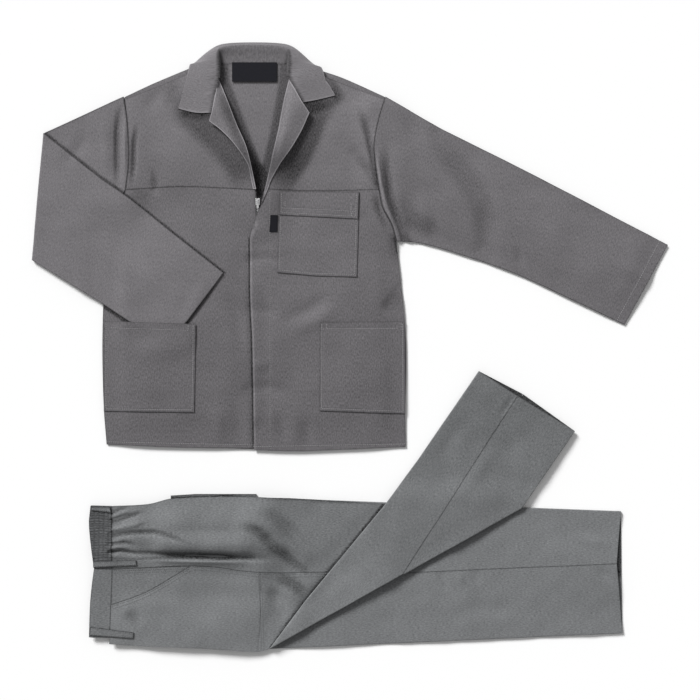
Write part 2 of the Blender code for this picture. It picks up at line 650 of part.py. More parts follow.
def raise_ribs(bm, top, low, high, count, height):
    """Ridges across a gathered band, in the wall's upper face over a plain underside."""
    spacing = (high - low) / (2 * count)
    for k in range(1, 2 * count):
        cut(bm, (0, low + k * spacing), (0, 1))
    for v in bm.verts:
        line = round((v.co.y - low) / spacing)
        if line % 2 and v.co.z > top - 0.1 and abs(v.co.y - low - line * spacing) < 0.1:
            v.co.z += height


def trouser_waist():
    """Plain bands in front, gathered elastic bands behind, belt loops and the slant pocket's facing."""
    band_front = ["band_side", "body_side", "band_seam_low", "band_low"]
    band_back = ["band_top", "body_top", "body_side", "band_side"]
    for side, ply in (("right", 0), ("left", 3)):
        trouser_piece("waistband_front_" + side, band_front, ply)
        trouser_piece("waistband_back_" + side, band_back, ply, ribs=(-423, -303, RIBS, RIB_HEIGHT) if ply else None)
    trouser_piece("pocket_facing_left", ["body_side", "slant_low", "slant_mid", "side_b", "side_a"], 3)
    loops = {
        "belt_loop_side": [(-491, -409), (-408, -405), (-407, -416), (-491, -421)],
        "belt_loop_front": [(-497, -534), (-413, -545), (-415, -557), (-499, -551)],
        "belt_loop_back": [(-496, -305), (-459, -305), (-457, -316), (-495, -312)],
    }
    for name, corners in loops.items():
        trouser_piece(name, corners, 4, lift=0 if name == "belt_loop_front" else RIB_HEIGHT)


def trouser_hidden():
    """What the folds hide: the patch pocket under the right hip, and the bunched cloth of the
    pockets, fly and seat as one rounded solid between the halves of the hips."""
    pocket = slab(inset(outline({}, [(-344, -284), (-296, -281), (-179, -281), (-178, -370), (-342, -370)])), 0)
    add("hip_pocket_right", pocket, "trousers")
    core = slab(outline({}, [
        (-448, -318), (-385, -309), (-296, -297), (-125, -300), (-118, -420), (-175, -566), (-309, -566),
        (-448, -556), (-448, -440),
    ]), PLY, 2 * PLY - GAP)
    settle(core, TROUSER_RELIEF)
    add("hip_core", core, "trousers")


def main():
    for old in list(bpy.data.objects):
        bpy.data.objects.remove(old)
    for name in ("work_suit", "helpers"):
        bpy.context.scene.collection.children.link(bpy.data.collections.new(name))
    jacket_body()
    jacket_lapels()
    jacket_sleeves()
    jacket_pockets()
    jacket_labels()
    jacket_collar()
    jacket_zip()
    trouser_legs()
    trouser_waist()
    trouser_hidden()


main()
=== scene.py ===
# %% [markdown]
# # A two-piece work suit, laid flat
# A jacket lies above a pair of trousers, both cut from grey heathered twill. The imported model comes
# first and stays as it is. Every cloth piece of it is then made again as a fine, creased wall.

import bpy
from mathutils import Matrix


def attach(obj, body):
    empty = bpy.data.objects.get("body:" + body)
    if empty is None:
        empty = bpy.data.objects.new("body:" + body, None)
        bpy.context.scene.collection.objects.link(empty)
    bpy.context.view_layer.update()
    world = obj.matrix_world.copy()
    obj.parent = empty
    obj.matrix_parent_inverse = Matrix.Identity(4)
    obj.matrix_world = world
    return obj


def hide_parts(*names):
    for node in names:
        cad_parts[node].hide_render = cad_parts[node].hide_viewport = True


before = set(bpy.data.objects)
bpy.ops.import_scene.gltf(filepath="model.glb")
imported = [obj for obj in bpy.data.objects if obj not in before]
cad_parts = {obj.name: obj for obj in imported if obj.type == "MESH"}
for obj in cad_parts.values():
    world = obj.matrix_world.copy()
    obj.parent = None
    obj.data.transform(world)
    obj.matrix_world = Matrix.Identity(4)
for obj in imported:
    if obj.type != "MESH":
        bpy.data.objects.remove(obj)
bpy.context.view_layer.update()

import copy
import math

import bmesh
import bpy
import numpy as np
from mathutils import Matrix, Vector

# %% [markdown]
# ## The flat stack
# All lengths here are millimetres, as on a cutting table. One layer of cloth is 1.2 mm and the next
# one starts 0.3 mm above it, so layer number k lies at k times 1.5 mm before anything is creased.

# %% Sizes of the cloth
MM = 0.001
CLOTH = 1.2
GAP = 0.3
PLY = CLOTH + GAP
TUBE = 2 * CLOTH + GAP
TRIM = 0.8
SEAM = 0.15
RIM = 0.45                                # how far a rounded edge swells past its outline
INNER_RIM = 0.9                           # the strip over which the tone of an edge dies out
CELL = 6.0        # spacing of the mesh that carries the creases
BEND_STEPS = 7
STITCH_PITCH = 4.2
STITCH = (2.8, 0.95, 0.7)                 # how long, wide and thick one stitch is
SHARP = math.radians(62)                  # edges that bend more than this stay hard
ALL_PLIES = 99
EYE = (0.0, -4.8, 3000.0)                 # the place of the camera, over the table
print("layers", PLY, "mm apart, mesh", CELL, "mm")

# %% [markdown]
# ## Creases
# Cloth that lies on a table isn't flat: it rises over what is beneath it and keeps soft creases.
# Both are rows of a table. A swell is a broad rise round a straight spine. A crease is a narrow
# trough (negative height) or ridge along a bent spine. The rows of a layer are added up, never
# below zero, and lift that layer and all above it, so no layer can pass through another.
# Simulated cloth would crease at random, and rows put each crease where it belongs.

# %% How high a row lifts a point
CREASE_FADE = 0.45                        # the share of its length over which a crease dies out
BAND_FADE = 0.3
WAVES = 9                                 # how many waves one ripple is made of


def ease(t):
    """0 up to 0, 1 from 1 on, and smooth between."""
    t = np.clip(t, 0, 1)
    return t * t * (3 - 2 * t)


def from_spine(xy, spine):
    """Each point's distance to a bent line."""
    best = np.full(len(xy), np.inf)
    for a, b in zip(spine, spine[1:]):
        a, b = np.array(a, float), np.array(b, float)
        length = max(1e-6, np.linalg.norm(b - a))
        t = np.clip((xy - a) @ (b - a) / length ** 2, 0, 1)
        best = np.minimum(best, np.linalg.norm(xy - a - t[:, None] * (b - a), axis=1))
    return best


def swell(xy, a, b, core, reach, height):
    """A broad rise: full height within core of the line from a to b, none beyond reach."""
    away = from_spine(xy, (a, b))
    return height * ease((reach - away) / (reach - core))


def dying(xy, spine, ends, share):
    """1 along the spine, falling to 0 over a share of it at the ends named: both, first, last or none."""
    a, b = np.array(spine[0], float), np.array(spine[-1], float)
    along = (xy - a) @ (b - a) / ((b - a) @ (b - a))
    fade = np.ones(len(xy))
    if ends in ("both", "first"):
        fade *= ease(along / share)
    if ends in ("both", "last"):
        fade *= ease((1 - along) / share)
    return fade


def crease(xy, width, height, ends, spine):
    """A soft groove or ridge."""
    away = from_spine(xy, spine)
    return height * dying(xy, spine, ends, CREASE_FADE) * np.exp(-(away / width) ** 2)


def band(xy, core, reach, amount, ends, spine):
    """The full amount within core of a bent line, none beyond reach."""
    away = from_spine(xy, spine)
    return amount * dying(xy, spine, ends, BAND_FADE) * ease((reach - away) / (reach - core))


def ripple(xy, seed, size, height):
    """Slow unevenness: a few waves of about the given size in scattered directions, never below 0."""
    chance = np.random.default_rng(seed)
    total = np.zeros(len(xy))
    for _ in range(WAVES):
        turn, phase, scale = chance.uniform(0, 2 * math.pi, 2).tolist() + [chance.uniform(0.7, 1.5)]
        wave = np.array((math.cos(turn), math.sin(turn))) * 2 * math.pi / (size * scale)
        total += np.sin(xy @ wave + phase)
    return height * np.clip(0.5 + total / WAVES, 0, 1)

# %% The relief of a garment
CREASED = 1.7                             # how much the creases of the tables are deepened


def carried(z, ply):
    """1 from the level of a layer upwards, 0 below the gap beneath it."""
    return np.clip((z - ply * PLY + GAP) / GAP, 0, 1)


class Relief:
    """How far each level of the stack is raised at each place."""

    def __init__(self, swells, creases, ripples, quiet, drops=(), filled=(), filled_creases=()):
        self.plies = {}
        for _, ply, *rest in swells:
            self.plies.setdefault(ply, []).append((swell, rest))
        for _, ply, *rest in creases:
            self.plies.setdefault(ply, []).append((crease, [rest[0], rest[1] * CREASED, *rest[2:]]))
        self.ripples = ripples
        self.quiet = quiet
        self.drops = drops
        self.filled = filled
        self.filled_creases = filled_creases

    def below(self, ply):
        """The same relief without the rows of that layer and those above it."""
        less = copy.copy(self)
        less.plies = {k: rows for k, rows in self.plies.items() if k < ply}
        less.ripples = [row for row in self.ripples if row[0] < ply]
        return less

    def calm(self, xy):
        """1 where the cloth may ripple, less along the quiet lines."""
        calm = np.ones(len(xy))
        for radius, least, *spine in self.quiet:
            away = from_spine(xy, spine)
            calm *= least + (1 - least) * ease((away - 0.4 * radius) / (0.8 * radius))
        return calm

    def sink(self, xy, z):
        """How far a layer drops where the ones beneath it end."""
        rise = np.zeros(len(xy))
        for ply, start, full, depth in self.drops:
            part = np.clip((xy[:, 0] - start) / (full - start), 0, 1)
            rise -= depth * ease(part) * carried(z, ply)
        return rise

    def rise(self, xy, z, top_ply=ALL_PLIES):
        """What all rows of the layers up to top_ply lift spots at levels z."""
        total = self.sink(xy, z)
        for ply in sorted(set(self.plies) | {row[0] for row in self.ripples}):
            if ply > top_ply:
                continue
            lift = sum((form(xy, *rest) for form, rest in self.plies.get(ply, ())), np.zeros(len(xy)))
            waves = [ripple(xy, *rest) for level, *rest in self.ripples if level == ply]
            if waves:
                lift = lift + sum(waves) * self.calm(xy)
            total += np.maximum(0, lift) * carried(z, ply)
        if self.filled:
            lift = sum(swell(xy, *rest) for _, *rest in self.filled)
            lift = lift + sum(crease(xy, *rest) for _, *rest in self.filled_creases)
            total += np.maximum(0, lift) * np.clip((z - PLY) / (2 * PLY - GAP), 0, 1)
        return total

# %% [markdown]
# ## Outlines
# A pattern piece is a closed outline through named marks. A mark with ~ before its name is soft:
# the outline runs through it as a curve. Other marks are corners with straight lines between them.

# %% Draw an outline
def outline(marks, names, step=5.0):
    """The closed line through the marks, with a point about every step where it bends."""
    soft = [isinstance(name, str) and name.startswith("~") for name in names]
    spots = [np.array(marks[name.lstrip("~")] if isinstance(name, str) else name, float) for name in names]
    count = len(spots)
    points = []
    for k in range(count):
        a, b = spots[k], spots[(k + 1) % count]
        length = np.linalg.norm(b - a)
        leave = (b - spots[k - 1]) / np.linalg.norm(b - spots[k - 1]) if soft[k] else (b - a) / length
        after = spots[(k + 2) % count]
        arrive = (after - a) / np.linalg.norm(after - a) if soft[(k + 1) % count] else (b - a) / length
        straight = not soft[k] and not soft[(k + 1) % count]
        steps = 1 if straight else max(2, round(length / step))
        for t in (j / steps for j in range(steps)):
            points.append(
                a * (2 * t ** 3 - 3 * t ** 2 + 1) + leave * length * (t ** 3 - 2 * t ** 2 + t)
                + b * (3 * t ** 2 - 2 * t ** 3) + arrive * length * (t ** 3 - t ** 2)
            )
    return points


def cut_size(points):
    """Width and length of the smallest rectangle of cloth that the piece can be cut from."""
    best = None
    for degrees in range(0, 90, 3):
        turn = np.array(((math.cos(math.radians(degrees)), -math.sin(math.radians(degrees))),
                         (math.sin(math.radians(degrees)), math.cos(math.radians(degrees)))))
        spread = np.ptp(np.array(points) @ turn.T, axis=0)
        if best is None or spread[0] * spread[1] < best[0] * best[1]:
            best = spread
    return best


def inset(points, by=SEAM):
    """The outline moved inwards, so that neighbours keep a seam's gap."""
    count = len(points)
    turn = -1 if sum(p[0] * q[1] - q[0] * p[1] for p, q in zip(points, points[1:] + points[:1])) < 0 else 1
    moved = []
    for k in range(count):
        before = points[k] - points[k - 1]
        after = points[(k + 1) % count] - points[k]
        normals = [np.array((-d[1], d[0])) / np.linalg.norm(d) * turn for d in (before, after)]
        middle = sum(normals) / np.linalg.norm(sum(normals))
        moved.append(points[k] + middle * by / max(0.4, middle @ normals[0]))
    return moved

# %% [markdown]
# ## A wall of cloth
# The outline becomes one face, ruled into a fine grid so that it can crease, and is drawn up by the
# cloth's thickness. The rim is cut once half way up and swollen, which turns the raw square edge
# into the rounded one of a turned and pressed hem. A sleeve is the same with its ends taken off and
# a wall put on the inside.

# %% Rule a face into squares
def cut(bm, point, normal, faces=None):
    """Cuts the given faces, or all of them, along a line through a point."""
    geom = bm.verts[:] + bm.edges[:] + bm.faces[:]
    if faces is not None:
        edges = {e for f in faces for e in f.edges}
        geom = list(faces) + list(edges) + list({v for e in edges for v in e.verts})
    return bmesh.ops.bisect_plane(
        bm, geom=geom, dist=1e-3, plane_co=Vector((*point, 0)), plane_no=Vector((*normal, 0)).normalized()
    )["geom"]


def rule(bm, cell):
    """Rules the face into squares. Each cut is given only the faces that it hasn't passed yet."""
    for normal in (Vector((1, 0)), Vector((0, 1))):
        reach = [v.co.xy.dot(normal) for v in bm.verts]
        faces = bm.faces[:]
        for k in range(math.ceil(min(reach) / cell + 0.05), math.floor(max(reach) / cell - 0.05) + 1):
            if not faces:
                break
            made = cut(bm, normal * (k * cell), normal, faces)
            made = [f for f in made if isinstance(f, bmesh.types.BMFace) and f.is_valid]
            faces = [f for f in made if f.calc_center_median().xy.dot(normal) > k * cell]

# %% Draw a face up into a wall
def wall(points, level, thickness=CLOTH, cell=None, rows=(), swollen=RIM, edge=-0.38, rulings=(),
         scores=(), rim=0.9):
    """A flat wall through the outline. rows are stitch rows: their lines are cut into it as well.
    edge is how much painted shade (below 0) or painted highlight (above 0) the rim gets. rulings and scores are
    finer cuts for small creases."""
    bm = bmesh.new()
    face = bm.faces.new([bm.verts.new((*p, level)) for p in points])
    bm.normal_update()
    if face.normal.z > 0:
        bmesh.ops.reverse_faces(bm, faces=bm.faces[:])
    # the attribute holds painted light and shade for the colour: here painted shade along the rim, or a painted
    # highlight where edge is above 0
    painted_light_and_shade = bm.verts.layers.float.new("painted_light_and_shade")
    for v in bm.verts:
        v[painted_light_and_shade] = edge
    for width, share in ((rim, 1.0), (INNER_RIM, 0.0)):
        middle = max(bm.faces, key=lambda f: f.calc_area())
        bmesh.ops.inset_region(bm, faces=[middle], thickness=width, use_even_offset=True, use_boundary=True)
        for v in max(bm.faces, key=lambda f: f.calc_area()).verts:
            v[painted_light_and_shade] = edge * share
    rule(bm, cell or CELL)
    for normal, low, high, step in rulings:
        for k in range(int((high - low) / step) + 1):
            cut(bm, Vector(normal) * (low + k * step), normal)
    for spine, offsets in [(spine, (-1.6, 0, 1.6)) for spine in rows] + list(scores):
        for a, b in zip(spine, spine[1:]):
            side = Vector((b[1] - a[1], a[0] - b[0])).normalized()
            for off in offsets:
                cut(bm, Vector(a) + side * off, side)
    raised = bmesh.ops.extrude_face_region(bm, geom=bm.faces[:], use_keep_orig=True)["geom"]
    bmesh.ops.translate(bm, vec=(0, 0, thickness),
                        verts=[v for v in raised if isinstance(v, bmesh.types.BMVert)])
    bm.normal_update()
    sides = [f for f in bm.faces if abs(f.normal.z) < 0.5]
    for share in (0.5,) if thickness <= CLOTH else (0.15, 0.5, 0.85):
        edges = {e for f in sides for e in f.edges}
        geom = sides + list(edges) + list({v for e in edges for v in e.verts})
        bmesh.ops.bisect_plane(
            bm, geom=geom, dist=1e-4, plane_co=(0, 0, level + thickness * share), plane_no=(0, 0, 1)
        )
        sides = [f for f in bm.faces if abs(f.normal.z) < 0.5]
    bm.normal_update()
    for v in bm.verts:
        height = (v.co.z - level) / thickness
        if 0.05 < height < 0.95:
            out = Vector((v.normal.x, v.normal.y)).normalized()
            v.co.xy += out * swollen * math.sqrt(1 - (2 * height - 1) ** 2)
    bmesh.ops.recalc_face_normals(bm, faces=bm.faces[:])
    return bm

# %% Close the inside of a tube
def back_wall(bm, outer, thickness):
    """Gives an open surface a wall: the same faces again on its inside, joined round the rims."""
    rim = [loop for face in outer for loop in face.loops if loop.edge.is_boundary]
    sides = [(loop.vert, loop.link_loop_next.vert) for loop in rim]
    inner = {v: bm.verts.new(v.co - v.normal * thickness) for v in bm.verts[:]}
    for face in outer:
        bm.faces.new([inner[v] for v in reversed(face.verts)])
    for a, b in sides:
        bm.faces.new((b, a, inner[a], inner[b]))
    return inner


def tube(points, open_edges, scores=()):
    """Two layers of cloth, joined round their rim and open at the given edges."""
    bm = wall(points, 0, TUBE, swollen=1.1, scores=scores)
    ends = []
    for face in bm.faces:
        spot = np.array([face.calc_center_median().xy[:]])
        if abs(face.normal.z) < 0.7 and any(from_spine(spot, edge)[0] < 3.2 for edge in open_edges):
            ends.append(face)
    bmesh.ops.delete(bm, geom=ends, context="FACES_ONLY")
    bmesh.ops.delete(bm, geom=[v for v in bm.verts if not v.link_faces], context="VERTS")
    bm.normal_update()
    back_wall(bm, bm.faces[:], CLOTH)
    bmesh.ops.recalc_face_normals(bm, faces=bm.faces[:])
    return bm

# %% [markdown]
# ## Folds
# A folded sleeve or trouser leg is one piece of cloth that turns over. The pattern is scored along
# the bend and every point past the fold line is carried round a half circle to lie on the rest.

# %% Fold cloth along a line
class Fold:
    """Cloth to the right of a-b turns over, or under, the rest of the stack."""

    def __init__(self, a, b, low, high, over=True, starts=False, ends=False):
        a, b = np.array(a, float), np.array(b, float)
        length = np.linalg.norm(b - a)
        self.along = (b - a) / length
        self.first = -0.5 if starts else -math.inf
        self.last = length + 0.5 if ends else math.inf
        self.normal = np.array((self.along[1], -self.along[0]))
        self.axis = high + GAP / 2 if over else low - GAP / 2
        self.sign = 1 if over else -1
        self.mean = (high - low + GAP) / 2
        self.start = a - self.normal * (high - low + GAP / 2)

    def flat(self, point):
        """Where a spot that is seen on the folded part lies in the flat pattern."""
        point = np.array(point, float)
        depth = -(point - self.start) @ self.normal
        return tuple(point + self.normal * (2 * depth + math.pi * self.mean))

    def turn(self, p):
        """Carries all spots past the fold line round the bend."""
        p = p.copy()
        past = (p[:, :2] - self.start) @ self.normal
        along = (p[:, :2] - self.start) @ self.along
        moved = (past > 0) & (along > self.first - 0.01) & (along < self.last + 0.01)
        radius = self.sign * (self.axis - p[:, 2])
        angle = np.minimum(past / self.mean, math.pi)
        over = np.maximum(0, past - math.pi * self.mean)
        new = radius * np.sin(angle) - over
        lift = -radius * np.cos(angle)
        p[moved, :2] += self.normal * (new - past)[moved, None]
        p[moved, 2] = (self.axis + self.sign * lift)[moved]
        return p

    def apply(self, bm):
        """Scores the pattern along the bend and folds it."""
        for limit, way in ((self.first, -1), (self.last, 1)):
            if math.isfinite(limit):
                cut(bm, self.start + self.along * limit, self.along)
                cut(bm, self.start + self.along * (limit + 8 * way), self.along)
        for k in range(BEND_STEPS + 1):
            cut(bm, self.start + self.normal * (math.pi * self.mean * k / BEND_STEPS), self.normal)
        place(bm, self.turn(spots_of(bm)))


def spots_of(bm):
    return np.array([v.co[:] for v in bm.verts])


def place(bm, spots):
    for v, spot in zip(bm.verts, spots.tolist()):
        v.co = spot

# %% [markdown]
# ## Twill
# Heathered twill mixes light and dark fibres, so close up it is streaked along the warp and from
# further off softly clouded, with faint diagonal ribs. The group reads the piece's own pattern
# coordinates, 1 for 100 mm, which stay with the cloth when it is folded.

# %% Add a node
def node(tree, kind, **values):
    made = tree.nodes.new(kind)
    for key, value in values.items():
        if hasattr(made, key):
            setattr(made, key, value)
        else:
            made.inputs[key.replace("_", " ")].default_value = value
    return made

# %% A node group for cloth
def twill_group():
    tree = bpy.data.node_groups.new("twill", "ShaderNodeTree")
    for name, kind, way in (
        ("Colour", "NodeSocketColor", "INPUT"), ("Streaks", "NodeSocketFloat", "INPUT"),
        ("Clouds", "NodeSocketFloat", "INPUT"), ("Ribs", "NodeSocketFloat", "INPUT"),
        ("Colour", "NodeSocketColor", "OUTPUT"), ("Height", "NodeSocketFloat", "OUTPUT"),
        ("Roughness", "NodeSocketFloat", "OUTPUT"),
    ):
        tree.interface.new_socket(name, in_out=way, socket_type=kind)
    inside, outside = tree.nodes.new("NodeGroupInput"), tree.nodes.new("NodeGroupOutput")
    link = tree.links.new
    uv = tree.nodes.new("ShaderNodeTexCoord").outputs["UV"]

    def noise(scale, stretch, detail):
        turn = node(tree, "ShaderNodeMapping")
        turn.inputs["Scale"].default_value = (scale, scale / stretch, 1)
        link(uv, turn.inputs["Vector"])
        made = node(tree, "ShaderNodeTexNoise", noise_dimensions="2D", Scale=1.0, Detail=detail, Roughness=0.6)
        link(turn.outputs[0], made.inputs["Vector"])
        return made.outputs["Fac"]

    def maths(operation, a, b):
        made = node(tree, "ShaderNodeMath", operation=operation)
        for socket, value in zip(made.inputs, (a, b)):
            if isinstance(value, (int, float)):
                socket.default_value = value
            else:
                link(value, socket)
        return made.outputs[0]

    streak = maths("SUBTRACT", noise(66, 3.6, 2.0), 0.5)
    fleck = maths("SUBTRACT", noise(40, 1.5, 2.0), 0.5)
    cloud = maths("SUBTRACT", noise(2.6, 1.5, 3.0), 0.5)
    diagonal = node(tree, "ShaderNodeMapping")
    diagonal.inputs["Rotation"].default_value = (0, 0, math.radians(58))
    link(uv, diagonal.inputs["Vector"])
    wave = node(tree, "ShaderNodeTexWave", wave_type="BANDS", bands_direction="X", Scale=13.0, Distortion=0.8)
    wave.inputs["Detail"].default_value = 1.0
    link(diagonal.outputs[0], wave.inputs["Vector"])
    rib = maths("SUBTRACT", wave.outputs["Fac"], 0.5)
    weave = node(tree, "ShaderNodeTexWave", wave_type="BANDS", bands_direction="X", Scale=42.0, Distortion=0.3)
    link(diagonal.outputs[0], weave.inputs["Vector"])
    change = maths("ADD", maths("MULTIPLY", streak, inside.outputs["Streaks"]),
                   maths("MULTIPLY", maths("MULTIPLY", fleck, 0.7), inside.outputs["Streaks"]))
    change = maths("ADD", change, maths("MULTIPLY", cloud, inside.outputs["Clouds"]))
    change = maths("ADD", change, maths("MULTIPLY", rib, inside.outputs["Ribs"]))
    # painted light and shade of each place, added to the colour
    painted_light_node = tree.nodes.new("ShaderNodeAttribute")
    painted_light_node.attribute_name = "painted_light_and_shade"
    change = maths("ADD", change, painted_light_node.outputs["Fac"])
    shade = node(tree, "ShaderNodeVectorMath", operation="SCALE")
    link(inside.outputs["Colour"], shade.inputs[0])
    link(maths("ADD", change, 1.0), shade.inputs["Scale"])
    link(shade.outputs[0], outside.inputs["Colour"])
    height = maths("ADD", maths("MULTIPLY", streak, 0.6), maths("MULTIPLY", fleck, 0.5))
    link(maths("ADD", height, maths("MULTIPLY", weave.outputs["Fac"], 0.25)), outside.inputs["Height"])
    link(maths("ADD", maths("MULTIPLY", fleck, 0.2), 0.9), outside.inputs["Roughness"])
    return tree


TWILL = twill_group()

# %% Finishes
def finish(name, roughness=0.9, metallic=0.0, sheen=0.0):
    made = bpy.data.materials.new(name)
    made.use_nodes = True
    shader = made.node_tree.nodes["Principled BSDF"]
    shader.inputs["Roughness"].default_value = roughness
    shader.inputs["Metallic"].default_value = metallic
    shader.inputs["Sheen Weight"].default_value = sheen
    shader.inputs["Specular IOR Level"].default_value = 0.25 if not metallic else 0.5
    return made


def cloth_finish(name, colour, streaks, clouds, ribs, bump=0.35):
    made = finish(name, sheen=0.12)
    tree = made.node_tree
    group = tree.nodes.new("ShaderNodeGroup")
    group.node_tree = TWILL
    group.inputs["Colour"].default_value = (*colour, 1)
    group.inputs["Streaks"].default_value = streaks
    group.inputs["Clouds"].default_value = clouds
    group.inputs["Ribs"].default_value = ribs
    shader = tree.nodes["Principled BSDF"]
    rough = node(tree, "ShaderNodeBump", Strength=bump, Distance=0.0006)
    tree.links.new(group.outputs["Colour"], shader.inputs["Base Color"])
    tree.links.new(group.outputs["Roughness"], shader.inputs["Roughness"])
    tree.links.new(group.outputs["Height"], rough.inputs["Height"])
    tree.links.new(rough.outputs[0], shader.inputs["Normal"])
    return made


FINISHES = {
    # key          slot             material
    "jacket":     ("jacket_twill", cloth_finish("jacket_cloth", (0.131, 0.125, 0.132), 1.05, 0.14, 0.06)),
    "trousers":   ("trouser_twill", cloth_finish("trouser_cloth", (0.143, 0.147, 0.151), 1.0, 0.14, 0.05)),
    "elastic":    ("trouser_twill", cloth_finish("elastic_cloth", (0.105, 0.108, 0.112), 0.85, 0.1, 0.0)),
    "label":      ("woven_label", cloth_finish("label_weave", (0.006, 0.006, 0.010), 0.4, 0.05, 0.1, 0.15)),
    "tape":       ("zip_tape", cloth_finish("tape_weave", (0.045, 0.045, 0.050), 0.3, 0.05, 0.2)),
    "thread":     ("jacket_twill", cloth_finish("thread", (0.30, 0.295, 0.303), 0.1, 0.0, 0.0)),
    "dark_thread": ("trouser_twill", cloth_finish("dark_thread", (0.150, 0.154, 0.158), 0.1, 0.0, 0.0)),
}
print("finishes", sorted(FINISHES))

# %% [markdown]
# ## Painted shade and highlights
# Painted shade: dark bands where shadow falls inside the neck, under the lapels and collar leaves, beside the
# lap, the folded forearm, the armholes and the folds of the trousers, and painted highlights on a few rims.
# Each row is a soft band along a bent line, on the pieces and levels that it is listed for.

# %% Lines that rows share
VEE_R = [(-252, 545), (-251, 508), (-232, 458), (-212, 405), (-196, 362), (-179, 312)]
VEE_L = [(-121, 545), (-123, 500), (-131, 450), (-141, 400), (-154, 345), (-164, 312)]
FOREARM = [(-588, 411), (-481, 327), (-422, 285.5), (-342, 221.5), (-242, 143)]
CUFF_EDGE = [(-242, 143), (-348, 1)]
LAP = [(-180, 240), (-192.5, 208), (-191.7, 91), (-188, 9), (-185, -196)]
ARM_SEAM_L = [(48, 380), (50, 345), (58, 300), (65, 268), (82, 234), (90, 206)]
TURN_LINE = [(-152, -577), (329, -309)]
TURNED_EDGE = [(-152, -577), (-86, -486), (-11, -394), (65, -301), (111, -238), (246, -47)]
YOKE_IN_R = [(-408, 440), (-413, 390), (-414, 350), (-420, 300)]
SLEEVE_IN_R = [(-442, 478), (-446, 425), (-446, 360), (-448, 290)]
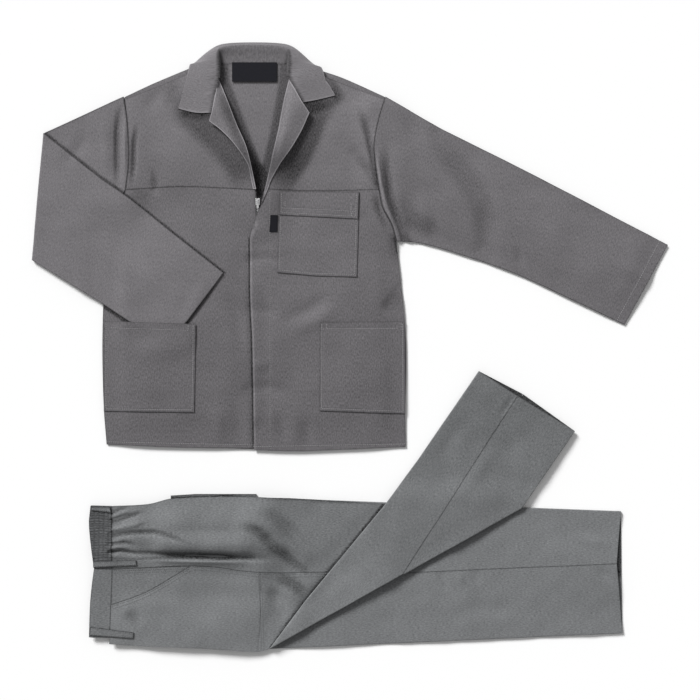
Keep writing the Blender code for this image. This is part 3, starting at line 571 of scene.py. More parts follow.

# %% Painted shade and highlights
PAINTED_SHADE_AND_HIGHLIGHTS = [
    # the pieces, and the lowest and highest level that the rows reach on them
    #    name              core  reach  shade  ends      spine
    (("jacket_back",), 0, 2.0, [
        ("vee_r",            15,    24,  -0.66, "none",  VEE_R),
        ("vee_l",            10,    19,  -0.60, "none",  VEE_L),
    ]),
    (("jacket_back", "yoke_right"), 0, 3.0, [
        ("vee_low",           6,    18,  -0.60, "none",  [(-176, 340), (-171, 302)]),
    ]),
    (("front_right", "yoke_right"), 1, 3.0, [
        ("vee_bottom",        5,    12,  -0.60, "none",  [(-173, 318), (-172, 262)]),
    ]),
    (("lapel_right",), 0, 9.0, [
        ("roll_r",            7,    24,  -0.40, "last",
         [(-238, 470), (-212, 410), (-192, 355), (-180, 312)]),
    ]),
    (("lapel_left",), 0, 9.0, [
        ("roll_l",            2,    14,  -0.14, "last",
         [(-126, 480), (-134, 430), (-142, 400), (-158, 320)]),
    ]),
    (("yoke_right",), 0, 3.0, [
        ("lapel_r",          20,    48,  -0.60, "last",
         [(-300, 452), (-262, 418), (-232, 388), (-205, 352), (-182, 306)]),
        ("collar_r",          3,     9,  -0.55, "both",  [(-330, 452), (-300, 445), (-262, 444)]),
        ("collar_out_r",      3,    22,  -0.26, "both",  [(-336, 520), (-342, 490), (-347, 455)]),
        ("armhole_in_r",      2,     7,  -0.50, "both",  YOKE_IN_R),
        ("pucker_r",          2,     7,  -0.30, "first", [(-382, 348), (-376, 324), (-373, 303)]),
    ]),
    (("yoke_left", "yoke_right"), 0, 4.5, [
        ("lapel_l",          27,    42,  -0.68, "both",
         [(-44, 494), (-76, 448), (-92, 405), (-110, 368), (-134, 332), (-158, 290)]),
    ]),
    (("yoke_left",), 0, 4.5, [
        ("collar_l",          7,    22,  -0.62, "both",  [(-14, 492), (-40, 472), (-70, 464), (-100, 456)]),
        ("collar_out_l",      5,    15,  -0.50, "both",  [(-52, 528), (-38, 508), (-20, 480), (-12, 462)]),
    ]),
    (("front_right",), 0, 3.0, [
        ("lap",               1,   3.5,  -0.75, "none",  LAP),
        ("lap_soft",          2,    12,  -0.18, "first", LAP),
        ("cuff_r",            1,     6,  -0.50, "first", CUFF_EDGE),
        ("elbow_r",           4,     8,  -0.70, "last",  [(-476, 84), (-425, 50), (-405, 38)]),
        ("under_yoke_r",      5,    20,  -0.20, "both",  [(-424, 298), (-380, 284)]),
    ]),
    (("front_left",), 3, 4.5, [
        ("lap_rim",           1,   3.5,   0.55, "none",  [(x + 2, y) for x, y in LAP]),
        ("front_arm_l",       2,    10,  -0.30, "both",  [(44, 300), (54, 262), (74, 220)]),
        ("pit_l",             2,     7,  -0.60, "both",  [(83, 218), (90, 198), (94, 174)]),
        ("side_l",            3,    16,  -0.22, "both",  [(86, 232), (84, 190), (96, 150)]),
        ("wedge_l",           4,    22,  -0.22, "both",  [(62, 70), (85, 84), (98, 110)]),
    ]),
    (("sleeve_right",), 0, 2.9, [
        ("fore_arm",          3,     7,  -0.75, "none",  FOREARM),
        ("armhole_r",         3,     8,  -0.40, "both",  SLEEVE_IN_R),
        ("armhole_rim_r",     1,     4,   0.22, "both",
         [(-432, 470), (-430, 400), (-430, 350), (-434, 306)]),
    ]),
    (("yoke_right", "front_right"), 0, 2.9, [
        ("fore_front",      1.5,     5,  -0.70, "none",  FOREARM),
    ]),
    (("yoke_left",), 3, 4.5, [
        ("yoke_fold_l",       2,    10,  -0.40, "first", [(14, 470), (36, 400), (53, 312)]),
        ("yoke_fold_in_l",    2,    12,  -0.26, "first", [(10, 374), (30, 345), (52, 312)]),
    ]),
    (("yoke_left", "front_left"), 3, 4.5, [
        ("arm_seam_l",      1.5,     5,  -0.60, "both",  ARM_SEAM_L),
    ]),
    (("sleeve_left",), 0, 2.9, [
        ("arm_rim_l",         2,   4.5,   0.34, "first", [(x + 4, y) for x, y in ARM_SEAM_L]),
        ("arm_dip_l",         4,    12,  -0.44, "first",
         [(66, 390), (68, 345), (75, 292), (92, 240), (106, 204)]),
        ("arm_under_l",       6,    26,  -0.28, "both",  [(96, 262), (125, 242), (170, 220)]),
        ("arm_band_l",       10,    34,  -0.20, "both",
         [(160, 418), (205, 352), (240, 300), (259, 250), (263, 180)]),
    ]),
    (("trouser_back_left",), 3, 5.8, [
        ("side_fold",       4.5,     8,  -0.60, "both",
         [(-400, -395), (-360, -395.5), (-300, -395.5), (-250, -398), (-200, -400)]),
        ("side_tail",         1,     6,  -0.50, "last",
         [(-290, -398), (-250, -399.5), (-211, -400.5), (-150, -401.5)]),
        ("side_lip",          1,     3,  -0.35, "both",
         [(-400, -402), (-360, -402.5), (-320, -401.5), (-250, -403), (-190, -403)]),
        ("side_light",        2,     5,   0.12, "both",
         [(-400, -408), (-360, -408), (-320, -407.5), (-250, -409), (-180, -411)]),
        ("side_top",        0.8,     4,  -0.40, "last",  [(-458, -389), (-415, -389.5), (-350, -391)]),
        ("side_low",        0.8,     4,  -0.40, "last",  [(-458, -402), (-400, -403), (-350, -402)]),
        ("gather_b",          1,     5,  -0.45, "last",  [(-458, -334), (-430, -326), (-388, -312)]),
        ("gather_c",          1,     6,  -0.45, "last",
         [(-458, -360), (-415, -354), (-370, -352), (-330, -362), (-290, -378)]),
        ("gather_e",          1,     5,  -0.45, "last",  [(-459, -376), (-430, -372), (-405, -376)]),
        ("gather_h",          1,     5,  -0.35, "last",  [(-459, -318), (-440, -308), (-420, -304)]),
        ("gather_edge",       1,     6,  -0.35, "none",  [(-457, -304), (-456, -420)]),
        ("bend_a",            4,    14,  -0.46, "first",
         [(-214, -330), (-173, -350), (-136, -388), (-90, -424)]),
        ("bend_b",            5,    20,  -0.17, "both",  [(-172, -300), (-111, -352), (-72, -400)]),
        ("bend_c",            3,    12,  -0.14, "both",  [(-196, -352), (-165, -380), (-130, -402)]),
        ("top_edge",          1,   3.5,  -0.45, "both",  [(-200, -287), (-100, -290), (66, -300)]),
    ]),
    (("trouser_front_left",), 3, 5.8, [
        ("knee_a",            7,    15,  -0.50, "both",  [(-150, -432), (-120, -446), (-78, -474)]),
        ("knee_b",            5,    18,  -0.18, "both",  [(-170, -540), (-158, -500), (-140, -436)]),
        ("front_dip",         3,    14,  -0.18, "both",  [(-432, -500), (-414, -520), (-400, -544)]),
    ]),
    (("trouser_front_left", "trouser_back_left"), 3, 5.8, [
        ("turn",              2,     5,  -0.42, "none",  TURN_LINE),
        ("turn_up",         2.5,   5.5,  -0.75, "none",  TURNED_EDGE[:4]),
        ("turn_up_low",       3,    13,  -0.46, "both",  TURNED_EDGE[:3]),
    ]),
    (("trouser_front_left", "trouser_back_left"), 5.9, 9, [
        ("turn_rim_up",       1,   3.5,   0.16, "none",  TURNED_EDGE),
        ("turn_rim",        0.6,   2.2,  -0.45, "none",  [(60, -459), (329, -309)]),
    ]),
    (("hip_pocket_right",), 0, 2.0, [
        ("pocket_edge",       2,     5,  -0.70, "last",  [(-350, -292), (-290, -288), (-200, -284)]),
    ]),
    (("trouser_front_right", "trouser_back_right"), 0, 3.0, [
        ("turn_right",        2,     5,  -0.14, "none",  [(-140, -577), (104, -437), (329, -309)]),
    ]),
    (("trouser_front_left", "trouser_back_left"), 5.9, 7.3, [
        ("hem_l",             5,     9,  -0.65, "none",  [(249, -47), (345, -104), (434, -158)]),
    ]),
    (("trouser_front_right", "trouser_back_right"), 0, 1.3, [
        ("hem_r",             7,    11,  -0.68, "none",  [(520, -314), (516, -370), (518, -430)]),
    ]),
]
print("painted_shade_rows", sum(len(rows) for *_, rows in PAINTED_SHADE_AND_HIGHLIGHTS))

# %% [markdown]
# ## From pattern to piece
# One helper takes a flat wall through the same steps each time: pattern coordinates, folds, painted
# light and shade, relief, smooth shading. It also says what sheet the piece was cut from and which solid it
# stands for.

# %% Where a pressed edge doesn't lie straight
PULLS = [
    # name          pieces                                    above  along
    ("turned_edge", ("trouser_front_left", "trouser_back_left"), 5.9, ((-152, -577), (246, -47)),
     # how far it is drawn in, by share of the way             fading over
     ((0, 0.0), (0.17, -1.0), (0.35, 4.7), (0.53, 10.0), (0.69, 9.2), (0.85, 4.5), (1, 0.0)), 90),
]
print("edges drawn in", len(PULLS))


def drawn_in(spots, above, spine, amounts, reach):
    """Shifts spots at or above a level to the right of a line, and ever less over its reach."""
    a, b = np.array(spine, float)
    length = np.linalg.norm(b - a)
    way = (b - a) / length
    out = np.array((way[1], -way[0]))
    share, inside = (spots[:, :2] - a) @ way / length, (spots[:, :2] - a) @ out
    amount = np.interp(share, [at for at, _ in amounts], [by for _, by in amounts])
    amount = amount * ease(1 - inside / reach) * (spots[:, 2] >= above)
    spots[:, :2] += amount[:, None] * out

# %% Lay a piece down
# painted shade never goes deeper than DARKEST
DARKEST = -0.75                           # no place is darker than this share below its cloth


def made_piece(name, bm, slot, material, smooth=True, sharp=None):
    """The finished mesh as an object that moves with the suit."""
    mesh = bpy.data.meshes.new(name)
    bm.to_mesh(mesh)
    bm.free()
    mesh.materials.append(material)
    if smooth:
        mesh.shade_smooth()
    if sharp:
        mesh.set_sharp_from_angle(angle=sharp)
    piece = bpy.data.objects.new(name, mesh)
    bpy.context.scene.collection.objects.link(piece)
    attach(piece, "suit")
    return piece


def lay(node_name, bm, flat, relief, finish_key, folds=(), warp=90.0, held="laid", rests_on=(),
        top_ply=ALL_PLIES, with_pieces=(), share=1.0, grooves=(), tone=((0, 0.0), (1, 0.0))):
    """Takes a flat piece through folds, painted light and shade, and relief to its place. warp is the way of
    its threads.
    """
    turned = math.radians(90 - warp)
    cosine, sine = math.cos(turned), math.sin(turned)
    layer = bm.loops.layers.uv.new("pattern")
    for face in bm.faces:
        for loop in face.loops:
            x, y = loop.vert.co.x / 100, loop.vert.co.y / 100
            loop[layer].uv = (x * cosine - y * sine, x * sine + y * cosine)
    if grooves:
        press(bm, *grooves)
    for fold in folds:
        fold.apply(bm)
    spots = spots_of(bm)
    for _, nodes, *pull in PULLS:
        if node_name in nodes:
            drawn_in(spots, *pull)
    painted_light_and_shade = bm.verts.layers.float["painted_light_and_shade"]
    # painted light and shade: the tone by height on the piece, then the painted shade and highlight bands
    shades = np.interp(spots[:, 1], [at for at, _ in tone], [shade for _, shade in tone])
    for nodes, low, high, rows in PAINTED_SHADE_AND_HIGHLIGHTS:
        if node_name in nodes:
            here = (spots[:, 2] >= low) & (spots[:, 2] <= high)
            for _, *row in rows:
                shades += here * band(spots[:, :2], *row)
    for v, shade in zip(bm.verts, shades.tolist()):
        v[painted_light_and_shade] = max(DARKEST, v[painted_light_and_shade] + shade)
    spots[:, 2] += relief.rise(spots[:, :2], spots[:, 2], top_ply)
    place(bm, spots * MM)
    piece = made_piece(node_name + "_cloth", bm, *FINISHES[finish_key], sharp=SHARP)
    width, length = cut_size(flat) * MM
    if share > 1:
        width *= share
    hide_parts(node_name)
    print(f"{node_name}: {len(piece.data.polygons)} faces, cut {width / MM:.0f} x {length / MM:.0f} mm,",
          f"top {spots[:, 2].max():.1f}")


def press(bm, top, rows, depth=0.35, shade=-0.08):
    """Draws the cloth in along its stitch rows and paints shade into them."""
    spots = spots_of(bm)
    painted_light_and_shade = bm.verts.layers.float["painted_light_and_shade"]
    for spine in rows:
        near = (from_spine(spots[:, :2], spine) < 0.4) & (spots[:, 2] > top - 0.1)
        spots[near, 2] -= depth
        for v, here in zip(bm.verts, near.tolist()):
            if here:
                v[painted_light_and_shade] += shade
    place(bm, spots)

# %% Sew a row of stitches
SEWN = {"jacket": [], "trousers": []}


def sew(garment, spine, top, relief, folds=()):
    """Notes a row of stitches along a bent line on a piece whose upper face lies at top."""
    spine = [np.array(p, float) for p in spine]
    marks = np.cumsum([0] + [np.linalg.norm(b - a) for a, b in zip(spine, spine[1:])])
    length = marks[-1]
    count = max(2, round(length / STITCH_PITCH))
    for k in range(count):
        at = (k + 0.5) * length / count
        leg = min(len(spine) - 2, max(0, int(np.searchsorted(marks, at)) - 1))
        way = (spine[leg + 1] - spine[leg]) / max(1e-6, marks[leg + 1] - marks[leg])
        centre = spine[leg] + way * (at - marks[leg])
        SEWN[garment].append((centre, way, top, relief, folds))


def sewing(name, garment, slot):
    """All stitches of a garment as one piece: small blocks, set on the flat cloth and moved with it."""
    bm = bmesh.new()
    groups = {}
    for centre, way, top, relief, folds in SEWN[garment]:
        turn = Matrix(((way[0], -way[1], 0), (way[1], way[0], 0), (0, 0, 1))).to_4x4()
        turn = Matrix.Translation((*centre, top - 0.1)) @ turn @ Matrix.Diagonal((*STITCH, 1))
        made = bmesh.ops.create_cube(bm, size=1, matrix=turn)["verts"]
        key = (id(relief), tuple(id(f) for f in folds), round(top, 3))
        groups.setdefault(key, (relief, folds, top, []))[3].extend(made)
    for relief, folds, top, verts in groups.values():
        spots = np.array([v.co[:] for v in verts])
        sheet = spots.copy()
        sheet[:, 2] = top
        for fold in folds:
            spots, sheet = fold.turn(spots), fold.turn(sheet)
        turned_down = (spots[:, 2] - sheet[:, 2]).max() < 0
        level = sheet[:, 2] + (0.02 if turned_down else -0.02)
        spots[:, 2] += relief.rise(spots[:, :2], level)
        for v, spot in zip(verts, (spots * MM).tolist()):
            v.co = spot
    made_piece(name, bm, slot, FINISHES["thread" if garment == "jacket" else "dark_thread"][1])
    print(f"{name}: {len(SEWN[garment])} stitches")

# %% [markdown]
# ## The jacket's relief
# The chest and belly swell a little, the lapels roll up off the neck, and the folded sleeve lifts
# the front. The creases follow how the jacket was last worn and pressed.

# %% Swells of the jacket
JACKET_SWELLS = [
    # name              ply   a             b             core  reach  height
    ("collar_under",     0, (-258, 528), (-100, 528),      55,   110,   2.0),
    ("air_r",            1, (-330, 430), (-330, -120),     90,   150,   2.2),
    ("air_l",            1, (-50, 430),  (-40, -120),      85,   150,   2.2),
    ("air_arm_l",        1, (150, 330),  (500, 130),       50,    95,   2.0),
    ("chest_r",          1, (-330, 400), (-320, 330),       0,   120,   2.6),
    ("belly_r",          1, (-330, 150), (-330, -60),       0,   130,   3.0),
    ("chest_l",          1, (-40, 400),  (-20, 330),        0,   110,   2.6),
    ("belly_l",          1, (-20, 150),  (-30, -60),        0,   130,   3.0),
    ("roll_r",           1, (-252, 516), (-196, 379),       6,    85,   8.0),
    ("roll_up_r",        1, (-228, 455), (-192, 365),       4,    50,   4.0),
    ("roll_low_r",       1, (-196, 379), (-179, 302),       6,    80,   4.5),
    ("roll_l",           1, (-117, 514), (-140, 400),       6,    85,   8.0),
    ("roll_up_l",        1, (-128, 455), (-150, 350),       4,    50,   4.0),
    ("roll_low_l",       1, (-140, 400), (-172, 270),       6,    80,   4.5),
    ("armhole_r",        1, (-440, 450), (-440, 300),      22,    75,   4.0),
    ("armhole_l",        1, (62, 440),   (68, 240),        24,    70,   5.0),
    ("upper_arm_r",      1, (-520, 350), (-540, 280),       0,    85,   2.6),
    ("upper_arm_l",      1, (130, 330),  (270, 262),        0,    95,   3.0),
    ("forearm_l",        1, (330, 238),  (520, 140),        0,    85,   3.0),
    ("lap_edge",         2, (-166, 285), (-184, 240),      14,    55,   4.2),
    ("lap_lift",         2, (-191, 110), (-188, -130),      6,    28,   2.8),
    ("lapel_edge_r",     2, (-262, 440), (-220, 392),      10,    60,   7.5),
    ("forearm_lift_r",   3, (-500, 230), (-330, 110),       0,    85,   2.8),
    ("lapel_edge_l",     3, (-84, 452),  (-118, 385),      10,    60,   7.5),
    ("tucked_cuff",      4, (-402, 30),  (-345, 30),       32,    66,   3.0),
    ("pocket_puff_l",    3, (23, 0),     (23, -70),        10,    62,   0.8),
    ("pocket_puff_r",    4, (-385, -30), (-385, -70),      10,    62,   0.8),
]

# %% Creases of the jacket
JACKET_CREASES = [
    # name              ply width height ends    spine
    ("roll_turn_r",      1,  9,  -4.0, "last",  [(-250, 508), (-228, 455), (-204, 395), (-188, 345)]),
    ("roll_turn_l",      1,  7,  -3.0, "last",  [(-119, 508), (-128, 455), (-138, 405), (-148, 350)]),
    ("armhole_dip_r",    1,  5,  -2.6, "both",  [(-434, 470), (-443, 439), (-446, 412), (-446, 377),
                                                 (-446, 347), (-448, 300)]),
    ("armhole_ridge_r",  1,  9,   1.2, "both",  [(-462, 455), (-468, 412), (-464, 360), (-466, 320)]),
    ("seam_ridge_r",     1,  4,   1.8, "both",  [(-430, 455), (-431, 400), (-431, 350), (-435, 304)]),
    ("yoke_dip_r",       1,  5,  -2.4, "both",  [(-408, 430), (-413, 390), (-414, 350), (-420, 304)]),
    ("yoke_soft_r",      1, 12,  -1.2, "both",  [(-398, 445), (-371, 480), (-343, 504)]),
    ("yoke_pucker_r",    1,  5,  -1.6, "first", [(-375, 330), (-374, 300)]),
    ("arm_ridge_l",      1,  4,   2.4, "both",  [(54, 392), (54, 350), (60, 310), (70, 272), (88, 230)]),
    ("arm_trough_l",     1,  6,  -3.2, "first", [(72, 400), (70, 350), (77, 295), (93, 240), (104, 208)]),
    ("arm_trough_in_l",  1,  5,  -2.6, "both",  [(20, 450), (36, 400), (46, 345), (52, 308)]),
    ("front_trough_l",   1,  5,  -2.2, "both",  [(48, 300), (58, 258), (76, 216)]),
    ("sleeve_tail_l",    1,  6,   2.6, "first", [(94, 228), (110, 210), (124, 202)]),
    ("yoke_dip_l1",      1,  8,  -1.8, "both",  [(26, 445), (38, 415), (44, 386)]),
    ("yoke_dip_l2",      1,  9,  -2.2, "last",  [(10, 372), (30, 345), (51, 318)]),
    ("yoke_ridge_l",     1, 10,   1.6, "both",  [(28, 385), (44, 345), (50, 322)]),
    ("underarm_l1",      1,  7,  -2.0, "both",  [(56, 296), (70, 272), (83, 254), (105, 215)]),
    ("underarm_l2",      1,  9,   1.8, "both",  [(40, 275), (62, 240), (84, 200)]),
    ("underarm_l3",      1,  8,  -1.4, "last",  [(28, 250), (50, 215), (78, 180)]),
    ("belly_diagonal",   1, 14,  -2.4, "both",  [(-150, 42), (-77, 72), (-19, 110)]),
    ("belly_ridge",      1, 16,   1.8, "both",  [(-130, 20), (-70, 48), (-10, 84)]),
    ("side_wedge",       1,  9,  -2.2, "first", [(60, 60), (78, 86), (101, 112)]),
    ("placket_a",        1,  9,  -1.6, "last",  [(-190, 168), (-160, 172), (-120, 164)]),
    ("placket_b",        1, 10,  -1.6, "last",  [(-190, 72), (-160, 70), (-130, 60)]),
    ("placket_c",        1, 12,  -2.0, "last",  [(-190, -80), (-155, -76), (-110, -90)]),
    ("placket_d",        1,  9,   1.6, "both",  [(-190, -30), (-150, -36)]),
    ("hem_a",            1,  9,  -1.8, "both", [(-140, -110), (-132, -150), (-122, -192)]),
    ("hem_b",            1, 10,   1.6, "both", [(-112, -118), (-104, -160), (-98, -196)]),
    ("hem_c",            1,  8,  -1.6, "both", [(-88, -130), (-80, -165), (-72, -196)]),
    ("hem_d",            1, 12,  -1.6, "both", [(-232, -96), (-214, -140), (-206, -190)]),
    ("hem_e",            1, 12,   1.8, "both", [(-262, -100), (-252, -140), (-246, -190)]),
    ("side_soft_r",      1, 16,  -1.6, "both",  [(-440, 40), (-400, 20), (-350, 12)]),
    ("zip_soft_r",       1, 12,  -1.4, "both",  [(-240, 120), (-215, 60), (-208, -30)]),
    ("elbow_band_l",     1, 19,  -2.9, "none",  [(173, 408), (215, 337), (259, 270), (263, 187)]),
    ("elbow_ridge_l",    1, 20,   2.0, "both",  [(225, 372), (262, 310), (300, 250), (306, 190)]),
    ("arm_pucker_l",     1,  6,  -1.6, "both",  [(318, 200), (326, 172), (330, 148)]),
    ("armpit_l",         1, 11,  -2.6, "first", [(96, 300), (108, 262), (124, 205)]),
    ("armpit_ridge_l",   1, 12,   2.0, "both",  [(126, 300), (144, 250), (156, 205)]),
    ("forearm_dip_l",    1, 18,  -1.4, "both",  [(400, 260), (430, 200), (470, 130)]),
    ("cuff_soft_l",      1, 14,   1.2, "first", [(500, 170), (545, 142), (590, 118)]),
    ("upper_dip_r",      1, 12,  -1.6, "both",  [(-500, 420), (-520, 380), (-560, 340)]),
    ("forearm_soft_r",   3, 16,  -1.6, "both",  [(-470, 270), (-430, 200), (-380, 140)]),
    ("forearm_ridge_r",  3, 18,   1.4, "both",  [(-540, 250), (-470, 180), (-410, 110)]),
    ("cuff_roll_r",      3, 12,   1.2, "both",  [(-262, 150), (-300, 80), (-330, 30)]),
]

# %% Ripples and drops of the jacket
JACKET_RIPPLES = [
    # ply seed  size  height
    (1,   11,   150,  4.2),
    (1,   12,    52,  1.1),
    (3,   13,    90,  0.5),
]
JACKET_QUIET = [
    # radius least  along
    (60,     0.0,   (-176, 300), (-176, 280)),
    (95,     0.0,   (-185, 430), (-185, 400)),
    (150,    0.0,   (-185, 560), (-185, 540)),
    (60,     0.25,  (-470, -195), (-180, -195), (110, -195)),
    (40,     0.35,  (-470, 200), (-475, 0), (-470, -190)),
    (40,     0.35,  (92, 200), (106, 0), (107, -190)),
    (40,     0.30,  (133, 200), (315, 142), (432, 88), (527, 43)),
    (36,     0.30,  (527, 43), (610, 197)),
]
JACKET_DROPS = [
    # ply  x_start  x_full  depth
    (2,    -155,    -105,   PLY),
    (4,    -200,    -240,   2 * PLY),
]
JACKET_RELIEF = Relief(JACKET_SWELLS, JACKET_CREASES, JACKET_RIPPLES, JACKET_QUIET, JACKET_DROPS)
print("swells", len(JACKET_SWELLS), "creases", len(JACKET_CREASES))

# %% Marks of the jacket
JACKET = {
    "neck_back_r": (-250, 545), "neck_back_l": (-121, 545),
    "neck_side_r": (-272, 541), "neck_side_l": (-96, 540),
    "gorge_r": (-252, 516), "gorge_in_r": (-260, 468), "notch_r": (-264, 448),
    "gorge_l": (-117, 514), "gorge_in_l": (-104, 492), "notch_l": (-92, 470),
    "lapel_tip_r": (-269, 432), "lapel_a_r": (-247, 415), "lapel_b_r": (-222, 389), "lapel_c_r": (-195.5, 350),
    "lapel_d_r": (-190.5, 328), "lapel_end_r": (-185.5, 303),
    "lapel_tip_l": (-77, 448), "lapel_a_l": (-93, 412), "lapel_b_l": (-112, 379), "lapel_c_l": (-134, 348),
    "lapel_d_l": (-150, 320), "lapel_e_l": (-157, 301),
    "roll_a_r": (-235, 475), "roll_b_r": (-216, 426), "roll_mid_r": (-196, 379),
    "roll_a_l": (-124, 485), "roll_b_l": (-131, 450), "roll_mid_l": (-138, 410),
    "vee_r": (-179, 302), "vee_l": (-160, 302),
    "lap_top": (-169, 274), "lap_low": (-181, 248), "lap_turn": (-192, 218), "lap_mid": (-191, 91),
    "lap_down": (-187, 9),
    "exit_r": (-307, 536), "shoulder_a_r": (-375, 508), "shoulder_r": (-433, 481),
    "exit_l": (-54, 531), "shoulder_a_l": (-10, 516), "shoulder_l": (68, 481),
    "seam_in_r": (-301, 527), "seam_in_l": (-60, 523),
    "seam_out_r": (-431, 475), "seam_out_l": (66, 475),
    "arm_a_r": (-425, 425), "arm_b_r": (-423, 357), "yoke_arm_r": (-429, 302),
    "arm_a_l": (54, 435), "arm_b_l": (46, 388), "arm_c_l": (49, 350), "yoke_arm_l": (56, 302),
    "yoke_low_r": (-320, 308), "yoke_low_l": (-60, 300),
    "arm_d_l": (62, 270), "arm_e_l": (79, 238),
    "underarm_r": (-468, 206), "underarm_l": (89, 204),
    "side_a_r": (-474, 60), "side_b_r": (-475, -18), "side_c_r": (-472, -120), "hem_side_r": (-467, -186),
    "side_a_l": (97, 130), "side_b_l": (105, 53), "side_c_l": (108, -18), "side_d_l": (106, -127),
    "hem_side_l": (107, -191),
    "hem_mid_r": (-326, -192), "hem_mid_l": (-38, -197), "hem_a_l": (-103, -199),
    "hem_zip_r": (-180, -194), "hem_lap_l": (-184, -197),
}
SIDE_L = ["~arm_d_l", "~arm_e_l", "underarm_l", "~side_a_l", "~side_b_l", "~side_c_l", "~side_d_l",
          "hem_side_l"]
SIDE_R = ["hem_side_r", "~side_c_r", "~side_b_r", "~side_a_r", "underarm_r"]
ARM_L = ["~arm_a_l", "~arm_b_l", "~arm_c_l", "yoke_arm_l"]
ARM_R = ["yoke_arm_r", "~arm_b_r", "~arm_a_r"]
print("marks", len(JACKET))

# %% [markdown]
# ## The body of the jacket
# The back is one piece. In front, a yoke and a lower front on each side meet at a straight seam
# across the chest, and the left front laps over the zip.

# %% Back, yokes and fronts
# painted light: the jacket is painted darker towards the hem and lighter towards the neck
JACKET_PAINTED_LIGHT = ((-190, -0.12), (0, -0.08), (120, -0.02), (300, 0.02), (420, 0.18), (540, 0.24))


# edge is the painted shade along the piece's rim
def jacket_piece(node_name, names, ply, by=SEAM, rows=(), thickness=CLOTH, key="jacket", cell=None,
                 edge=-0.38, scores=(), rim=0.9, **more):
    flat = inset(outline(JACKET, names), by)
    bm = wall(flat, ply * PLY, thickness, cell, rows, edge=edge, scores=scores, rim=rim)
    if key == "jacket":
        more.setdefault("tone", JACKET_PAINTED_LIGHT)
    if rows:
        more["grooves"] = (ply * PLY + thickness, rows)
    lay(node_name, bm, flat, JACKET_RELIEF, key, **more)


def jacket_rows(rows, ply):
    for spine in rows:
        sew("jacket", spine, ply * PLY + CLOTH, JACKET_RELIEF)


jacket_piece("jacket_back", [
    "neck_back_r", "neck_back_l", "neck_side_l", "exit_l", "~shoulder_a_l", "shoulder_l", *ARM_L, *SIDE_L,
    "~hem_mid_l", "hem_mid_r", *SIDE_R, *ARM_R, "shoulder_r", "~shoulder_a_r", "exit_r", "neck_side_r",
], ply=0, by=0.5, rests_on=["floor"], scores=[(VEE_R[1:], (0, -13, -18, -23)), (VEE_L[1:], (0, 8, 14, 20))])
jacket_piece("yoke_right", [
    "seam_in_r", "neck_side_r", "gorge_r", "~roll_a_r", "~roll_b_r", "~roll_mid_r", "vee_r", "~yoke_low_r",
    "yoke_arm_r", "~arm_b_r", "~arm_a_r", "seam_out_r",
], ply=1, rests_on=["jacket_back"],
    scores=[(FOREARM[1:3], (-6, -2, 2, 6)), (YOKE_IN_R, (-9, -6, -3, 0, 3, 6, 9))])
jacket_piece("yoke_left", [
    "seam_in_l", "seam_out_l", *ARM_L, "~yoke_low_l", "vee_l", "~roll_mid_l", "~roll_b_l", "~roll_a_l",
    "gorge_l", "neck_side_l",
], ply=2, rests_on=["jacket_back"],
    scores=[([(14, 470), (50, 330)], (-9, -4, 0, 4, 9)), (ARM_SEAM_L[:3], (2, 5))])
HEM_R = [(-468, -181), (-182, -187)]
jacket_piece("front_right", [
    "~yoke_low_r", "vee_r", "hem_zip_r", "~hem_mid_r", *SIDE_R, "yoke_arm_r",
], ply=1, rests_on=["jacket_back"], rows=[HEM_R],
    scores=[(FOREARM[2:], (-6, -2, 0, 2, 6)), (CUFF_EDGE, (-8, -3, 0, 3, 8)),
            ([(-476, 84), (-405, 38)], (-8, -4, 0, 4, 8)), (LAP[1:], (-12, -3.5, -1, 1, 3.5, 12))])
HEM_L = [(-186, -190), (107, -185)]
PLACKET = [(-153, 297), (-153, -196)]
jacket_piece("front_left", [
    "yoke_arm_l", *SIDE_L, "~hem_mid_l", "~hem_a_l", "hem_lap_l", "~lap_down", "~lap_mid", "lap_turn",
    "~lap_low", "lap_top", "vee_l", "~yoke_low_l",
], ply=2, rests_on=["front_right", "jacket_back"], rows=[HEM_L, PLACKET], edge=-0.3,
    scores=[(LAP[1:], (-5.5, -3, -1)), (ARM_SEAM_L[2:], (2, 5, 9))])
jacket_rows([HEM_R], 1)
jacket_rows([HEM_L, PLACKET], 2)

# %% [markdown]
# ## Lapels
# A lapel is the facing where it turns out over the chest, so it lies one layer above the yoke and
# its outer edge stands a little off it.

# %% Right and left lapel
# edge above 0 paints a highlight along each lapel's rim
jacket_piece("lapel_right", [
    "gorge_r", "~roll_a_r", "~roll_b_r", "~roll_mid_r", "vee_r", "lapel_end_r", "~lapel_d_r", "~lapel_c_r",
    "~lapel_b_r", "~lapel_a_r", "lapel_tip_r", "notch_r", "~gorge_in_r",
], ply=2, held="folded", rests_on=["yoke_right"], cell=CELL * 0.6, edge=1.0, rim=0.9)
jacket_piece("lapel_left", [
    "gorge_l", "~gorge_in_l", "notch_l", "lapel_tip_l", "~lapel_a_l", "~lapel_b_l", "~lapel_c_l", "~lapel_d_l",
    "~lapel_e_l", "lap_top", "~roll_mid_l", "~roll_b_l", "~roll_a_l",
], ply=3, held="folded", rests_on=["yoke_left"], cell=CELL * 0.6, edge=0.8, rim=1.3)

# %% [markdown]
# ## Sleeves
# A sleeve that lies flat is a squashed tube with a pressed edge on either side. The right one is
# made straight first and then folded back across the front, as it lies.

